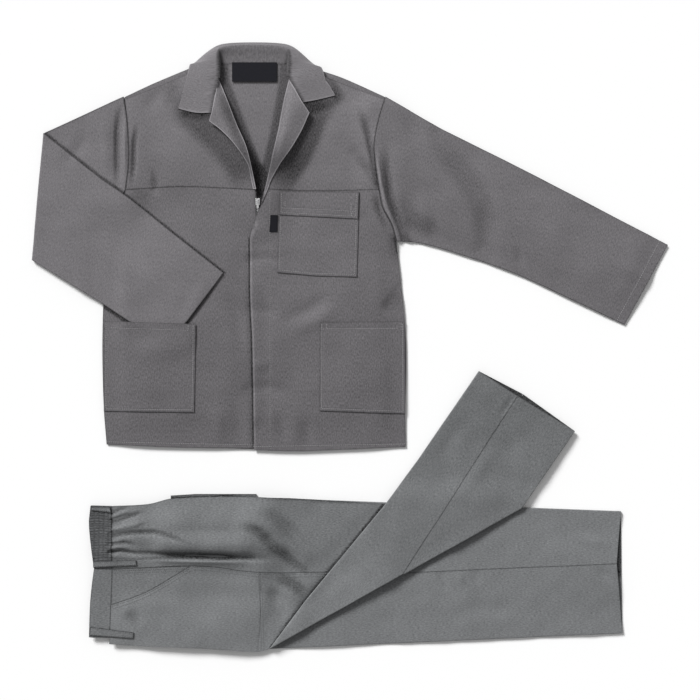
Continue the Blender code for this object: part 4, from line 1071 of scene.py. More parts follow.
# %% Right and left sleeve
SLEEVES = {
    "fold_top": (-588, 411), "fold_low": (-610, 167),
    "fore_a_r": (-481, 327), "fore_b_r": (-422, 285.5), "fore_c_r": (-342, 221.5), "cuff_top_r": (-242, 143),
    "elbow_r": (-472, 82), "cuff_low_r": (-348, 1),
    "over_a": (105, 460), "over_b": (157, 430), "over_c": (191, 412), "over_d": (315, 350),
    "cuff_top_l": (610.3, 197), "cuff_low_l": (527, 43),
    "under_d": (432, 88), "under_c": (315, 142), "under_b": (196, 183), "under_a": (133, 200),
}
SLEEVE_FOLD = Fold(SLEEVES["fold_top"], SLEEVES["fold_low"], 0, TUBE)
marks = {**JACKET, **SLEEVES}
for name in ("fore_a_r", "fore_b_r", "fore_c_r", "cuff_top_r", "elbow_r", "cuff_low_r"):
    marks[name] = SLEEVE_FOLD.flat(SLEEVES[name])


def sleeve(node_name, armhole, near, cuff, far, warp, folds, rests_on, tone):
    """A tube between armhole and cuff. near and far are its two pressed edges."""
    flat = inset(outline(marks, armhole + near + cuff + far), 3 * SEAM)
    mouth = outline(marks, armhole + near[:1])
    last = max(k for k, p in enumerate(mouth) if np.linalg.norm(p - np.array(marks[armhole[-1]])) < 1e-6)
    opened = list(zip(mouth[:last + 1], mouth[1:last + 1])) + [tuple(marks[c] for c in cuff)]
    scores = [(ARM_SEAM_L, (-2, -4, -8, -12, -16))]
    if folds:
        scores = [(FOREARM[:3], (-6, -2, 0, 2, 6)), (SLEEVE_IN_R, (-16, -12, -8, -4, 0, 4, 8))]
    bm = tube(flat, opened, scores)
    lay(node_name, bm, flat, JACKET_RELIEF, "jacket", folds=folds, warp=warp,
        held="folded" if folds else "laid", rests_on=rests_on, share=2.0, tone=tone)


# the tone of each sleeve is painted light: the folded right sleeve is painted lighter all over, the left one
# lighter towards the shoulder
sleeve("sleeve_right",
       armhole=["shoulder_r", "~arm_a_r", "~arm_b_r", "yoke_arm_r", "underarm_r"],
       near=["fold_low", "elbow_r"], cuff=["cuff_low_r", "cuff_top_r"],
       far=["~fore_c_r", "~fore_b_r", "~fore_a_r", "fold_top"],
       warp=106, folds=[SLEEVE_FOLD], rests_on=["floor", "front_right"],
       tone=((0, 0.16), (300, 0.18), (480, 0.06)))
sleeve("sleeve_left",
       armhole=["underarm_l", "~arm_e_l", "~arm_d_l", "~yoke_arm_l", "~arm_c_l", "~arm_b_l", "~arm_a_l",
                "shoulder_l"],
       near=["~over_a", "~over_b", "~over_c", "~over_d"], cuff=["cuff_top_l", "cuff_low_l"],
       far=["~under_d", "~under_c", "~under_b", "~under_a"],
       warp=72, folds=[], rests_on=["floor"], tone=((0, 0.0), (300, 0.05), (480, 0.1)))
sew("jacket", [(594, 205), (512, 51)], TUBE, JACKET_RELIEF)

# %% [markdown]
# ## Pockets and labels
# Patch pockets are turned in all round and topstitched close to the edge. The labels are plain
# black woven tape, one inside the neck and a small tab on the lap.

# %% Pockets
POCKETS = {
    # node                 ply  corners, from the top left round                         rests on
    "pocket_lower_right": (4, [(-472, 51), (-295, 45), (-298, -124), (-472, -122)], "front_right"),
    "pocket_lower_left":  (3, [(-58, 49), (105, 50), (106, -127), (-59, -121)], "front_left"),
    "pocket_chest":       (3, [(-135, 300), (18, 298), (13, 135), (-63, 137), (-140, 144)], "front_left"),
    "pocket_chest_flap":  (4, [(-135, 299), (17, 297), (15, 246), (-136, 254)], "pocket_chest"),
}


def shifted(corners, k, by):
    """The side of an outline that starts at corner k, moved inwards."""
    near = inset([np.array(c, float) for c in corners], by)
    return [tuple(near[k]), tuple(near[(k + 1) % len(near)])]


SIDE_ROW, HEM_ROW = 4.4, 13               # how far inside the edge a pocket is stitched
SIDES = {"pocket_lower_right": (1, 2, 3), "pocket_lower_left": (1, 2, 3), "pocket_chest": (1, 2, 3, 4),
         "pocket_chest_flap": (1, 2, 3)}
TACKS = {
    "pocket_lower_right": [[(-309, 43), (-309, 33)], [(-300, 43), (-300, 33)]],
    "pocket_lower_left": [[(-54, 46), (-54, 36)], [(-45, 46), (-45, 36)], [(98, 47), (98, 37)]],
    "pocket_chest": [],
    "pocket_chest_flap": [[(-131, 267), (11, 260)], [(3, 258), (3, 250)], [(-124, 281), (-124, 269)],
                          [(2, 275), (2, 262)]],
}
for node_name, (ply, corners, under) in POCKETS.items():
    rows = [shifted(corners, k, SIDE_ROW) for k in SIDES[node_name]]
    if node_name.startswith("pocket_lower"):
        rows.append(shifted(corners, 0, HEM_ROW))
    upright = [row for row in TACKS[node_name] if abs(row[0][0] - row[1][0]) <= 1]
    rows += [row for row in TACKS[node_name] if row not in upright]
    # edge: painted shade along the pocket's rim
    jacket_piece(node_name, corners, ply, rows=rows, rests_on=[under], edge=-0.26)
    jacket_rows(rows + upright, ply)

# %% Labels
for node_name, corners, ply, top_ply in (
    ("label_neck", [(-226, 546.4), (-140, 546.4), (-140, 509.5), (-226, 509.5)], 2.2, 0),
    ("label_tab", [(-152, 253), (-138, 253), (-139.5, 221), (-154, 221)], 3, ALL_PLIES),
):
    jacket_piece(node_name, corners, ply, thickness=TRIM, key="label", top_ply=top_ply, by=0.0, cell=4.0,
                 rests_on=["jacket_back" if top_ply == 0 else "front_left"])

# %% [markdown]
# ## Collar
# The collar is one strip round the neck: up from the neck seam, over its roll and out as the leaf.
# Each station of the table is one place along the neck, and the strip is drawn through their points.

# %% Stations of the collar
COLLAR = [
    # Six points run across the strip at each station, as (x, y, height): on the neck seam, the
    # stand, the roll, the leaf, its edge and its end. The fronts of the collar have no stand.
    ("point_r",    None,              None,              (-265, 451, 15.2), (-296, 451, 12.0),
                   (-327, 458, 8.6),  (-330, 459, 8.2)),
    ("front_r",    None,              None,              (-259, 480, 14.6), (-290, 480, 12.5),
                   (-319, 483, 9.2),  (-322, 483, 8.8)),
    ("gorge_r",    (-249, 516, 12.2), (-250, 517, 13.2), (-253, 518, 14.2), (-284, 514, 13.0),
                   (-312, 511, 9.6),  (-315, 510, 9.2)),
    ("side_r",     (-247, 541, 4.4),  (-249, 543, 9.5),  (-253, 546, 15.5), (-281, 544, 12.0),
                   (-302, 541, 8.6),  (-308, 539, 6.4)),
    ("turn_r",     (-247, 546, 3.6),  (-249, 550, 9.0),  (-254, 556, 15.0), (-279, 553, 10.5),
                   (-301, 545, 1.2),  (-304, 541, 0.0)),
    ("shoulder_r", (-246, 544, 3.4),  (-249, 555, 8.0),  (-253, 566, 13.5), (-275, 564, 8.0),
                   (-289, 553, 0.0),  (-284, 530, 0.0)),
    ("corner_r",   (-243, 544, 3.4),  (-246, 560, 7.0),  (-250, 573, 12.0), (-257, 576, 6.5),
                   (-259, 573, 0.4),  (-258, 522, 0.0)),
    ("back_r",     (-230, 544, 3.4),  (-230, 561, 5.5),  (-232, 578, 9.5), (-233, 581, 5.0),
                   (-233, 579, 0.5),  (-232, 514, 0.0)),
    ("back_mid",   (-185, 544, 3.4),  (-185, 561, 5.5),  (-185, 579.5, 9.0),  (-185, 582.85, 5.0),
                   (-185, 580, 0.5),  (-185, 512, 0.0)),
    ("back_l",     (-139, 544, 3.4),  (-139, 561, 5.5),  (-137, 578, 9.5), (-136, 581, 5.0),
                   (-136, 579, 0.5),  (-137, 514, 0.0)),
    ("corner_l",   (-126, 544, 3.4),  (-123, 560, 7.0),  (-119, 573, 12.0), (-112, 576, 6.5),
                   (-110, 573, 0.4),  (-111, 522, 0.0)),
    ("shoulder_l", (-123, 544, 3.4),  (-120, 555, 8.0),  (-116, 566, 13.5), (-95, 564, 8.0),
                   (-84, 554, 0.0),   (-88, 528, 0.0)),
    ("turn_l",     (-122, 546, 3.6),  (-120, 550, 9.0),  (-115, 556, 15.0), (-88, 551, 10.5),
                   (-65, 541, 1.2),   (-61, 537, 0.0)),
    ("side_l",     (-122, 541, 4.4),  (-120, 543, 9.5),  (-115, 546, 15.5), (-84, 542, 12.0),
                   (-59, 537, 8.6),   (-53, 534, 6.4)),
    ("gorge_l",    (-121, 515, 12.6), (-120, 516, 13.6), (-116, 517, 14.6), (-82, 514, 13.0),
                   (-50, 512, 9.6),   (-46, 511, 9.2)),
    ("front_l",    None,              None,              (-102, 492, 15.2), (-72, 494, 12.5),
                   (-41, 498, 9.2),   (-37, 498, 8.8)),
    ("point_l",    None,              None,              (-90, 471, 15.8),  (-62, 476, 12.0),
                   (-32, 483, 8.6),   (-28, 484, 8.2)),
]

MIDDLE = [station for station, *_ in COLLAR].index("back_mid")
print("collar stations", len(COLLAR), "middle", MIDDLE)

# %% A smooth net through the stations
def between(a, b, c, d, t):
    """A point of the smooth curve through b and c, t of the way from one to the other."""
    a, d = (2 * b - c if a is None else a), (2 * c - b if d is None else d)
    return 0.5 * (2 * b + (c - a) * t + (2 * a - 5 * b + 4 * c - d) * t * t + (3 * b - a - 3 * c + d) * t ** 3)


def denser(points, steps):
    """More points on the smooth curve through the given ones. None stays None."""
    made = []
    for k, (b, c) in enumerate(zip(points, points[1:])):
        a = points[k - 1] if k else None
        d = points[k + 2] if k + 2 < len(points) else None
        for j in range(steps):
            made.append(None if b is None or c is None else between(a, b, c, d, j / steps))
    return made + [points[-1]]


def collar_rows(long, wide):
    """All points of the strip, one row for each place along the neck, None where it has no cloth.

    The stations are as they look from the camera over the table. What is raised looks further out
    than it is, so each point is drawn in by its height.
    """
    stations = [[point and np.array(point, float) for point in points] for _, *points in COLLAR]
    for row in stations:
        for point in row:
            if point is not None:
                point[:2] -= (point[:2] - (0.0, -5.0)) * point[2] / EYE[2]
    columns = [denser([row[j] for row in stations], long) for j in range(6)]
    return [denser(list(row), wide) for row in zip(*columns)]

# %% Draw the collar
COLLAR_CLEAR = 1.7                        # how far its outer face stays above the cloth beneath it


def collar():
    bm = bmesh.new()
    layer = bm.loops.layers.uv.new("pattern")
    painted_light_and_shade = bm.verts.layers.float.new("painted_light_and_shade")
    long, wide = ((6, 4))
    rows = collar_rows(long, wide)
    for i, row in enumerate(rows):
        held = [(point, k) for k, point in enumerate(row) if point is not None and k > 2.2 * wide]
        left = i / long > MIDDLE
        share = float(ease((abs(i / long - MIDDLE) - 3.6) / 1.2))     # 0 round the neck, 1 over the fronts
        top = (2 if left else 1) * PLY + CLOTH
        xy = np.array([point[:2] for point, _ in held])
        floor = top + JACKET_RELIEF.rise(xy, np.full(len(xy), top)) + COLLAR_CLEAR
        for (point, _), least in zip(held, floor.tolist()):
            point[2] += share * max(0.0, least - point[2])
    where = {}
    net = []
    for i, row in enumerate(rows):
        net.append([])
        for j, point in enumerate(row):
            v = None if point is None else bm.verts.new(point)
            if v:
                across = j / wide
                where[v] = (0.30 * i / long, 0.12 * across if across < 3 else 0.24 + 0.32 * (across - 2))
                # painted highlight along the leaf's edge, painted light over the leaf and stand, painted shade
                # on the stand and roll beside the fronts, and a darker line along the neck seam
                rim = j >= len(row) - 3 or i < 1 or i > len(rows) - 2
                side = float(ease((abs(i / long - MIDDLE) - 1.6) / 0.9))
                if rim and across > 2:
                    v[painted_light_and_shade] = 0.8 * side
                elif across > 2.2:
                    v[painted_light_and_shade] = 0.1 + 0.2 * side
                else:
                    v[painted_light_and_shade] = (-0.3 if j == 0 else 0.1) - 0.6 * side * (across < 2.1)
            net[-1].append(v)
    outer = []
    for row, after in zip(net, net[1:]):
        for k in range(len(row) - 1):
            corners = (row[k], row[k + 1], after[k + 1], after[k])
            if all(corners):
                outer.append(bm.faces.new(corners))
    loose = [v for v in bm.verts if not v.link_faces]
    where = {v: at for v, at in where.items() if v not in loose}
    bmesh.ops.delete(bm, geom=loose, context="VERTS")
    bm.normal_update()
    inner = back_wall(bm, outer, -CLOTH)
    for v, twin in inner.items():
        twin[painted_light_and_shade] = v[painted_light_and_shade]
    where.update({inner[v]: at for v, at in where.items()})
    for face in bm.faces:
        for loop in face.loops:
            loop[layer].uv = where[loop.vert]
    bmesh.ops.recalc_face_normals(bm, faces=bm.faces[:])
    area = sum(f.calc_area() for f in bm.faces) / 2 * MM * MM
    bmesh.ops.scale(bm, vec=(MM, MM, MM), verts=bm.verts[:])
    piece = made_piece("collar_cloth", bm, *FINISHES["jacket"], sharp=SHARP)
    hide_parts("collar")
    print(f"collar: {len(piece.data.polygons)} faces, {area:.4f} square metres")


collar()

# %% [markdown]
# ## Zip
# The closed part of the zip lies under the lap. Its tape is woven, its teeth are small blocks set
# by turns from either side, and the slider and pull stay the solids of the model, in bright metal.

# %% Tape and teeth
jacket_piece("zip", [(-178.6, 268), (-163, 268), (-163, -188), (-179.5, -188)], 1, thickness=TRIM,
             key="tape", top_ply=1, rests_on=["front_right"], by=0.0)
TEETH, TOOTH_PITCH, TOOTH = 24, 1.6, (3.4, 1.2, 1.3)
TEETH_START = (-176.3, 230)
bm = bmesh.new()
for k in range(TEETH):
    x, y = TEETH_START[0] + (0.9 if k % 2 else -0.9), TEETH_START[1] + TOOTH_PITCH * k
    turn = Matrix.Translation((x, y, PLY + TRIM + 0.5)) @ Matrix.Diagonal((*TOOTH, 1))
    bmesh.ops.create_cube(bm, size=1, matrix=turn)
spots = spots_of(bm)
level = np.full(len(spots), PLY + TRIM)
spots[:, 2] += JACKET_RELIEF.rise(spots[:, :2], level, 1)
place(bm, spots * MM)
bmesh.ops.bevel(bm, geom=bm.edges[:], offset=0.18 * MM, segments=1, profile=0.5, affect="EDGES", material=-1)
print("teeth", TEETH, "faces", len(bm.faces))

# %% Metal
METAL = finish("zip_bright", 0.22, 1.0)
tree = METAL.node_tree
scuffs = node(tree, "ShaderNodeTexNoise", Scale=900.0, Detail=3.0)
tree.links.new(tree.nodes.new("ShaderNodeTexCoord").outputs["Object"], scuffs.inputs["Vector"])
tone = node(tree, "ShaderNodeMapRange")
tone.inputs["To Min"].default_value = 0.2
tone.inputs["To Max"].default_value = 0.45
tree.links.new(scuffs.outputs["Fac"], tone.inputs["Value"])
tree.links.new(tone.outputs[0], tree.nodes["Principled BSDF"].inputs["Roughness"])
patina = node(tree, "ShaderNodeTexNoise", Scale=420.0, Detail=2.0)
tree.links.new(tree.nodes["Texture Coordinate"].outputs["Object"], patina.inputs["Vector"])
bright = node(tree, "ShaderNodeValToRGB")
bright.color_ramp.elements[0].position, bright.color_ramp.elements[0].color = 0.36, (0.07, 0.07, 0.07, 1)
bright.color_ramp.elements[1].position, bright.color_ramp.elements[1].color = 0.42, (0.95, 0.95, 0.96, 1)
tree.links.new(patina.outputs["Fac"], bright.inputs["Fac"])
tree.links.new(bright.outputs["Color"], tree.nodes["Principled BSDF"].inputs["Base Color"])
made_piece("zip_teeth", bm, "zip_metal", METAL, smooth=False)
for name in ("zip_slider", "zip_pull"):
    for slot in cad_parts[name].material_slots:
        slot.material = METAL

# %% [markdown]
# ## The trousers' relief
# The trousers lie on their side with the seat bunched up inside the hips. That bulk is what lifts
# the upper half and makes its deep fold along the side.

# %% Swells of the trousers
TROUSER_SWELLS = [
    # name              ply   a               b               core  reach  height
    ("hip_pocket",       0, (-320, -330), (-200, -330),     100,   150,   1.6),
    ("right_leg_hem",    1, (520, -430),  (440, -430),       20,   100,   2.6),
    ("right_leg",        1, (330, -500),  (230, -540),        0,    70,   1.6),
    ("left_knee",        3, (-140, -420), (-120, -500),      20,    80,   3.4),
    ("left_shank",       3, (60, -420),   (150, -430),        0,    90,   1.4),
    ("left_leg_hem",     5, (352, -60),   (310, -100),       20,   100,   2.6),
    ("left_leg",         5, (230, -190),  (60, -400),         0,    85,   2.0),
]
SEAT_SWELLS = [
    # name              a               b               core  reach  height
    ("seat",           (-330, -352),  (-180, -352),       10,    75,   13.2),
    ("seat_waist",     (-395, -345),  (-330, -352),        5,    60,    6.0),
    ("seat_rim",       (-350, -384),  (-215, -384),        4,    36,    6.4),
    ("side_ridge",     (-400, -428),  (-190, -432),        6,    52,    5.0),
    ("fold_base",      (-440, -385),  (-160, -398),       14,    50,    5.0),
    ("crotch_air",     (-160, -335),  (-95, -425),        26,    70,    4.5),
    ("front_hip",      (-380, -510),  (-220, -510),       10,    90,    6.0),
]

# %% Creases of the trousers
SEAT_CREASES = [
    # name           width height ends    spine
    ("side_fold",      7, -12.0, "both", [(-440, -394), (-371, -395), (-300, -396), (-240, -398),
                                          (-130, -403)]),
    ("side_fold_lip",  4,   2.5, "both", [(-420, -406), (-328, -407), (-268, -408), (-150, -411)]),
    ("gather_a",       4,  -3.4, "last", [(-460, -318), (-440, -308), (-420, -304)]),
    ("gather_b",       4,  -4.0, "last", [(-458, -334), (-430, -326), (-388, -312)]),
    ("gather_c",       5,  -4.6, "last", [(-458, -360), (-415, -354), (-370, -352), (-330, -362),
                                          (-290, -378)]),
    ("gather_d",       5,   3.2, "last", [(-457, -347), (-410, -338), (-380, -326)]),
    ("gather_e",       4,  -3.6, "last", [(-459, -376), (-430, -372), (-405, -376)]),
    ("gather_f",       4,  -4.2, "last", [(-459, -392), (-436, -388), (-415, -394), (-392, -397)]),
    ("gather_g",       4,   3.0, "last", [(-459, -384), (-440, -380), (-418, -384)]),
    ("gather_h",       4,   2.8, "last", [(-459, -326), (-438, -317), (-414, -310)]),
    ("gather_i",       3,  -2.6, "last", [(-459, -344), (-444, -341), (-430, -337)]),
    ("gather_j",       3,  -2.6, "last", [(-459, -368), (-446, -366), (-434, -364)]),
    ("seat_bend_a",    6,  -5.0, "first", [(-214, -330), (-173, -350), (-140, -390), (-98, -424)]),
    ("seat_bend_b",    8,   3.2, "both", [(-232, -338), (-196, -362), (-166, -398)]),
    ("seat_bend_c",    9,  -3.6, "both", [(-172, -300), (-111, -352), (-72, -400)]),
    ("seat_bend_d",    8,   3.4, "both", [(-190, -318), (-150, -338), (-102, -390), (-82, -412)]),
    ("front_soft",    12,  -3.2, "both", [(-428, -504), (-412, -520), (-400, -540)]),
    ("front_ridge",   12,   2.2, "both", [(-440, -470), (-424, -492), (-420, -515)]),
]
TROUSER_CREASES = [
    # name              ply width height ends    spine
    ("knee_a",           3, 10,  -1.8, "both",  [(-163, -350), (-150, -379)]),
    ("knee_d",           3, 14,  -3.0, "both",  [(-160, -455), (-140, -480), (-126, -515), (-120, -545)]),
    ("knee_e",           3, 12,   2.4, "both",  [(-128, -450), (-108, -475), (-96, -505)]),
    ("knee_b",           3, 10,  -2.6, "both",  [(-134, -373), (-110, -402), (-92, -427)]),
    ("knee_ridge",       3, 12,   1.8, "both",  [(-112, -360), (-88, -392), (-70, -420)]),
    ("knee_c",           3,  9,  -1.6, "both",  [(-154, -460), (-144, -478), (-134, -494)]),
    ("inseam_r_a",       1,  5,  -1.6, "last",  [(176, -437), (182, -452), (188, -468)]),
    ("inseam_r_b",       1,  5,  -1.4, "last",  [(240, -436), (246, -456)]),
    ("inseam_r_c",       1,  5,   1.4, "last",  [(210, -437), (214, -460)]),
    ("inseam_l_a",       5,  4,  -1.8, "first", [(318, -92), (309, -100), (303, -112)]),
    ("inseam_l_b",       5,  4,  -1.6, "first", [(306, -108), (298, -116), (292, -126)]),
    ("hem_r_a",          1,  6,  -1.6, "both",  [(468, -418), (484, -434), (500, -446)]),
    ("hem_r_b",          1,  9,   1.2, "both",  [(420, -360), (470, -372), (512, -380)]),
    ("leg_r_soft",       1, 16,  -1.2, "both",  [(150, -520), (260, -500), (380, -510)]),
    ("leg_l_soft",       5, 14,  -1.4, "both",  [(150, -230), (190, -180), (240, -120)]),
    ("leg_l_ridge",      5, 12,   1.2, "both",  [(200, -300), (250, -230), (300, -170)]),
]

# %% Relief of the trousers
TROUSER_RIPPLES = [
    # ply seed  size  height
    (1,   21,   150,  3.2),
    (3,   22,   150,  3.2),
    (3,   23,    50,  0.9),
    (5,   24,   140,  3.2),
    (1,   25,    50,  0.9),
    (5,   26,    50,  0.9),
]


class LegDrop(Relief):
    """Past the top edge of the hips the folded leg sinks to the table."""

    edge = ((68, -299), (329, -309))
    begins, over = 10, 50                 # how far past the edge the drop begins, and over what length

    def sink(self, xy, z):
        (ax, ay), (bx, by) = self.edge
        past = xy[:, 1] - (ay + (by - ay) * (xy[:, 0] - ax) / (bx - ax)) - self.begins
        return -4 * PLY * ease(past / self.over) * carried(z, 4)


TROUSER_RELIEF = LegDrop(TROUSER_SWELLS, TROUSER_CREASES, TROUSER_RIPPLES, [], filled=SEAT_SWELLS,
                         filled_creases=SEAT_CREASES)
print("swells", len(TROUSER_SWELLS) + len(SEAT_SWELLS), "creases", len(TROUSER_CREASES) + len(SEAT_CREASES))

# %% Marks of the trousers
TROUSERS = {
    "band_top": (-497, -303), "band_in": (-500, -340), "band_side": (-490, -423), "band_low": (-500, -555),
    "band_a": (-497, -480),
    "body_top": (-457, -304), "body_side": (-455, -424), "body_low": (-461, -568),
    "seat_a": (-387, -300), "seat_b": (-340, -289), "seat_e": (-230, -285),
    "seat_c": (-115, -288), "seat_d": (68, -299),
    "front_o": (-403, -572), "front_a": (-309, -575), "front_b": (-177, -583), "crease_front": (-152, -578),
    "hem_front_r": (523, -548), "hem_back_r": (520, -314),
    "hem_front_l": (510, -517), "hem_back_l": (509, -300),
    "side_a": (-406, -421), "side_b": (-303, -416), "side_m": (-255, -419), "side_c": (-201, -427),
    "side_d": (-115, -430), "side_hem_r": (521, -430), "side_hem_l": (517, -421),
    "slant_mid": (-389, -467), "slant_low": (-457.6, -493),
    "crotch": (-96, -441), "crotch_left": (104, -437), "inseam_hem_r": (511, -414), "inseam_hem_l": (508, -429),
    "crease_back": (-115, -290), "turn_back": (78, -322), "band_seam_low": (-460, -556),
    "fold_low": (-152, -577), "fold_high": (329, -309),
}
TURN = Fold(TROUSERS["fold_low"], TROUSERS["fold_high"], 2 * PLY, 3 * PLY + CLOTH)
T = TROUSERS
CREASES = {
    "right": (Fold(T["crease_front"], T["hem_front_r"], 0, CLOTH, starts=True),
              Fold(T["hem_back_r"], T["crease_back"], 0, CLOTH, ends=True)),
    "left": (Fold(T["crease_front"], T["hem_front_l"], 3 * PLY, 3 * PLY + CLOTH, over=False, starts=True),
             Fold(T["hem_back_l"], T["turn_back"], 3 * PLY, 3 * PLY + CLOTH, over=False, ends=True)),
}

# %% [markdown]
# ## Legs
# Each leg is a front and a back piece, joined at the side seam and the inseam. Both wrap round at
# the pressed creases, so each is folded once, and the left leg once more with the diagonal fold.

# %% Fronts and backs of the legs
FLY_SEAM = [(-172, -430), (-170, -500), (-176, -583)]
# the second number of FLY_GROOVE is painted shade in the seam's groove
FLY_GROOVE = (0.6, -0.3)                  # how deep and how much darker the cloth is at that seam
# painted light: the right leg is painted lighter, the left one lighter towards the bottom of the table and
# darker towards the top
LEG_PAINTED_LIGHT = {"right": ((0, 0.1), (1, 0.1)),
             "left": ((-600, 0.18), (-440, 0.16), (-400, 0.0), (-300, 0.0), (-100, -0.12))}
for side, ply in (("right", 0), ("left", 3)):
    front, back = CREASES[side]
    crotch = T["crotch"] if side == "right" else T["crotch_left"]
    hem = T["inseam_hem_" + side[0]]
    marks = {
        **T, "hem_front": T["hem_front_" + side[0]], "hem_back": T["hem_back_" + side[0]],
        "side_hem": T["side_hem_" + side[0]],
        "front_inseam_hem": front.flat(hem), "back_inseam_hem": back.flat(hem),
        "front_crotch": front.flat(crotch), "back_crotch": back.flat(crotch),
    }
    corner = ["slant_low", "~slant_mid", "side_b"] if side == "left" else ["body_side", "~side_a", "~side_b"]
    top = ["crease_back"] if side == "right" else ["turn_back", "seat_d", "seat_c"]
    front_names = ["body_low", "~front_o", "~front_a", "front_b", "crease_front", "front_crotch",
                   "front_inseam_hem", "hem_front", "side_hem", "~side_d", "~side_c", "~side_m",
                   *corner[::-1], "band_seam_low"]
    back_names = ["body_side", "~side_a", "~side_b", "~side_m", "~side_c", "~side_d", "side_hem", "hem_back",
                  "back_inseam_hem", "back_crotch", *top, "~seat_e", "~seat_b", "~seat_a", "body_top"]
    folds = [] if side == "right" else [TURN]
    for piece, crease_fold, names in (("front", front, front_names), ("back", back, back_names)):
        flat = inset(outline(marks, names), 2 * SEAM)
        rows = [FLY_SEAM] if (side, piece) == ("left", "front") else []
        rulings = []
        if (side, piece) == ("left", "back"):
            rulings = [((0, 1), -414, -300, 2.4), ((1, 0), -456, -392, 2.4)]
        scores = [(TURN_LINE, (-5, -2, 0, 2, 5) if side == "left" else (0, 3, 6))]
        if scores and side == "left":
            scores.append(([(-152, -577), (65, -301)], (-10, -6, -3, 0, 3)))
        # edge: painted shade along the rims of the leg pieces
        bm = wall(flat, ply * PLY, rows=rows, rulings=rulings, edge=-0.18, scores=scores)
        under = ["floor"] if side == "right" else ["trouser_front_right", "trouser_back_right"]
        lay(f"trouser_{piece}_{side}", bm, flat, TROUSER_RELIEF, "trousers", folds=[crease_fold, *folds],
            warp=0.0, held="folded", rests_on=under, tone=LEG_PAINTED_LIGHT[side],
            grooves=(ply * PLY + CLOTH, rows, *FLY_GROOVE) if rows else ())

# %% [markdown]
# ## Waist
# The band is plain in front and gathered on elastic behind. The gathers are ridges across the band,
# pinched where the rows of stitches hold them.

# %% Waistbands
ELASTIC_ROWS = (-489, -480, -471, -462)
RIB_HEIGHT, RIB_PITCH = 1.35, 4.6


def ribbed(bm, top, low, high):
    """Raises the gathers on the band's upper face, less where the elastic is stitched down, and paints shade
    between them.
    """
    spots = spots_of(bm)
    upper = spots[:, 2] > top - 0.1
    x, y = spots[:, 0], spots[:, 1]
    inside = ease((y - low) / 6) * ease((high - y) / 6)
    bend = 0.9 * np.sin(x / 9.0 + y / 31.0) + 0.8 * np.sin(y / 4.1 + 1.0) + 0.7 * np.sin(y / 9.7)
    wave = 0.5 + 0.5 * np.cos((y + bend) * 2 * math.pi / RIB_PITCH)
    wave *= 0.75 + 0.25 * np.sin(y / 2.9 + x / 14.0)
    pinch = np.ones(len(spots))
    for row in ELASTIC_ROWS:
        pinch -= 0.75 * np.exp(-((x - row) / 1.7) ** 2)
    spots[upper, 2] += (RIB_HEIGHT * inside * wave * pinch)[upper]
    # painted shade in the troughs between the gathers and at the pinches
    painted_light_and_shade = bm.verts.layers.float["painted_light_and_shade"]
    for v, dark in zip(bm.verts, (-0.5 * inside * (1 - wave * pinch) * upper).tolist()):
        v[painted_light_and_shade] += dark
    place(bm, spots)


for side, ply in (("right", 0), ("left", 3)):
    for part, names in (
        ("front", ["band_side", "body_side", "band_seam_low", "band_low", "~band_a"]),
        ("back", ["band_top", "body_top", "body_side", "band_side", "~band_in"]),
    ):
        flat = inset(outline(T, names))
        elastic = part == "back" and side == "left"
        bm = wall(flat, ply * PLY, cell=1.3 if elastic else None)
        if elastic:
            ribbed(bm, ply * PLY + CLOTH, -423, -303)
        lay(f"waistband_{part}_{side}", bm, flat, TROUSER_RELIEF, "elastic" if part == "back" else "trousers",
            warp=0.0, rests_on=["floor" if side == "right" else f"waistband_{part}_right"])

flat = inset(outline(T, ["body_side", "slant_low", "~slant_mid", "side_b", "~side_a"]))
lay("pocket_facing_left", wall(flat, 3 * PLY), flat, TROUSER_RELIEF, "trousers", warp=0.0,
    rests_on=["hip_core"])

# %% Belt loops
LOOPS = {
    "belt_loop_side": [(-491, -409), (-408, -405), (-407, -416), (-491, -421)],
    "belt_loop_front": [(-497, -534), (-413, -545), (-415, -557), (-499, -551)],
    "belt_loop_back": [(-496, -305), (-459, -305), (-457, -316), (-495, -312)],
}
LOOP_RELIEF = TROUSER_RELIEF.below(5)
for node_name, corners in LOOPS.items():
    lift = 0.4 if node_name == "belt_loop_front" else 1.2
    flat = inset(outline({}, corners))
    rows = [shifted(corners, 0, 2.6), shifted(corners, 2, 2.6)]
    # edge: painted shade along the loop's rim
    lay(node_name, wall(flat, 4 * PLY + lift, cell=3.0, edge=-0.6), flat, LOOP_RELIEF, "trousers", warp=0.0,
        rests_on=["waistband_front_left" if "front" in node_name else "waistband_back_left"])
    for row in rows:
        sew("trousers", row, 4 * PLY + lift + CLOTH, LOOP_RELIEF)

# %% Hip pocket and the cloth inside the hips
flat = inset(outline({}, [(-344, -284), (-296, -281), (-179, -281), (-178, -370), (-342, -370)]))
# painted shade: the pocket, which peeks out from under the hips, is painted darker
lay("hip_pocket_right", wall(flat, 0), flat, TROUSER_RELIEF, "trousers", warp=0.0, rests_on=["floor"],
    tone=((-300, -0.3), (-280, -0.2)))
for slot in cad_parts["hip_core"].material_slots:
    slot.material = FINISHES["trousers"][1]

# %% [markdown]
# ## Sewing on the trousers
# The side seam, the mouth of the slant pocket and the fly are topstitched twice, close beside their
# edges.

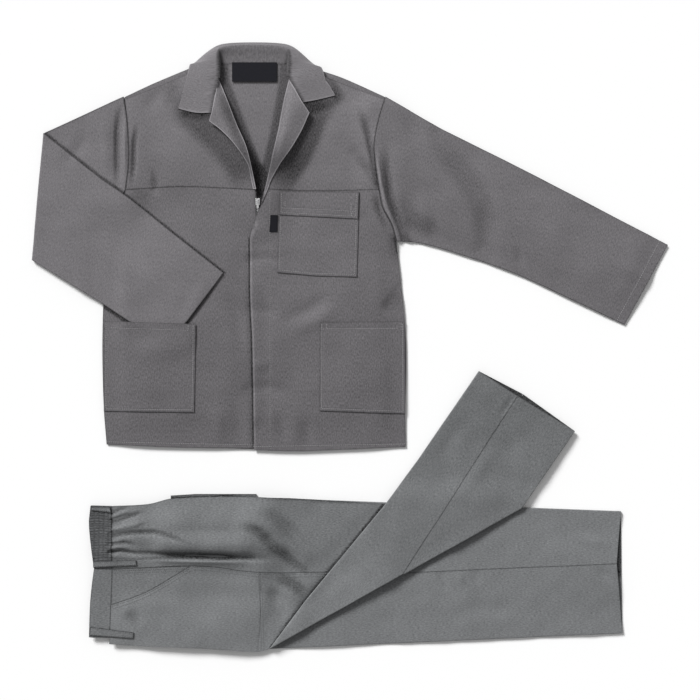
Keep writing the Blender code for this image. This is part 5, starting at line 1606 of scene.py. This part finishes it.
# %% Topstitch the trousers
SIDE_SEAM = outline(T, ["body_side", "~side_a", "~side_b", "~side_m", "~side_c", "~side_d", "side_hem_l"])
SIDE_SEAM = [p for p in SIDE_SEAM if -300 < p[0] < 40]
LEFT_TOP = 3 * PLY + CLOTH
for off in (-2.6, -8.0):
    sew("trousers", [(x, y + off) for x, y in SIDE_SEAM], LEFT_TOP, TROUSER_RELIEF, folds=(TURN,))
slant = [p for p in outline(T, ["slant_low", "~slant_mid", "side_b", "body_side"]) if p[1] < -417]
for off in (-2.6, -7.4):
    sew("trousers", [(x + 0.4 * -off, y + off) for x, y in slant], LEFT_TOP, TROUSER_RELIEF)
for x in (-168, -173):
    sew("trousers", [(x - 3, -430), (x + 1, -500), (x + 3, -578)], LEFT_TOP, TROUSER_RELIEF)

sewing("jacket_stitches", "jacket", "jacket_twill")
sewing("trouser_stitches", "trousers", "trouser_twill")

# %% [markdown]
# ## Floor, light and camera
# A pale floor, one soft sun from beyond the collar, slightly to the left, and an even sky. The
# camera looks straight down.

# %% Stage
FLOOR_LEVEL, FLOOR_HALF = -0.8 * MM, 12.0
floor = bpy.data.objects.new("floor", bpy.data.meshes.new("floor"))
bm = bmesh.new()
bmesh.ops.create_grid(bm, x_segments=1, y_segments=1, size=FLOOR_HALF)
bmesh.ops.translate(bm, vec=(0, 0, FLOOR_LEVEL), verts=bm.verts[:])
bm.to_mesh(floor.data)
bm.free()
bpy.context.scene.collection.objects.link(floor)
pale = finish("floor_pale", 0.9)
pale.node_tree.nodes["Principled BSDF"].inputs["Base Color"].default_value = (0.9, 0.9, 0.9, 1)
floor.data.materials.append(pale)
print("floor at", FLOOR_LEVEL / MM, "mm")

# %% Light
SUN, SUN_SPREAD, SKY = 4.3, math.radians(20), 0.37
lamp = bpy.data.lights.new("key", "SUN")
lamp.energy = SUN
lamp.angle = SUN_SPREAD
key = bpy.data.objects.new("key", lamp)
key.location = (-1.6, 2.1, 1.7)
key.rotation_euler = key.location.to_track_quat("Z", "Y").to_euler()
bpy.context.scene.collection.objects.link(key)
world = bpy.data.worlds.new("sky")
world.use_nodes = True
world.node_tree.nodes["Background"].inputs["Color"].default_value = (1, 1, 1, 1)
world.node_tree.nodes["Background"].inputs["Strength"].default_value = SKY
bpy.context.scene.world = world
bpy.context.scene.view_settings.view_transform = "Standard"
print("sun", SUN, "sky", SKY)

# %% Camera
eye = bpy.data.cameras.new("camera")
eye.type = "PERSP"
VIEW_WIDTH = 1344.0                       # how much of the table the camera sees
eye.sensor_width = 36.0
eye.lens = eye.sensor_width * EYE[2] / VIEW_WIDTH
camera = bpy.data.objects.new("camera", eye)
camera.location = Vector(EYE) * MM
bpy.context.scene.collection.objects.link(camera)
bpy.context.scene.camera = camera
print("lens", round(eye.lens, 1), "mm")
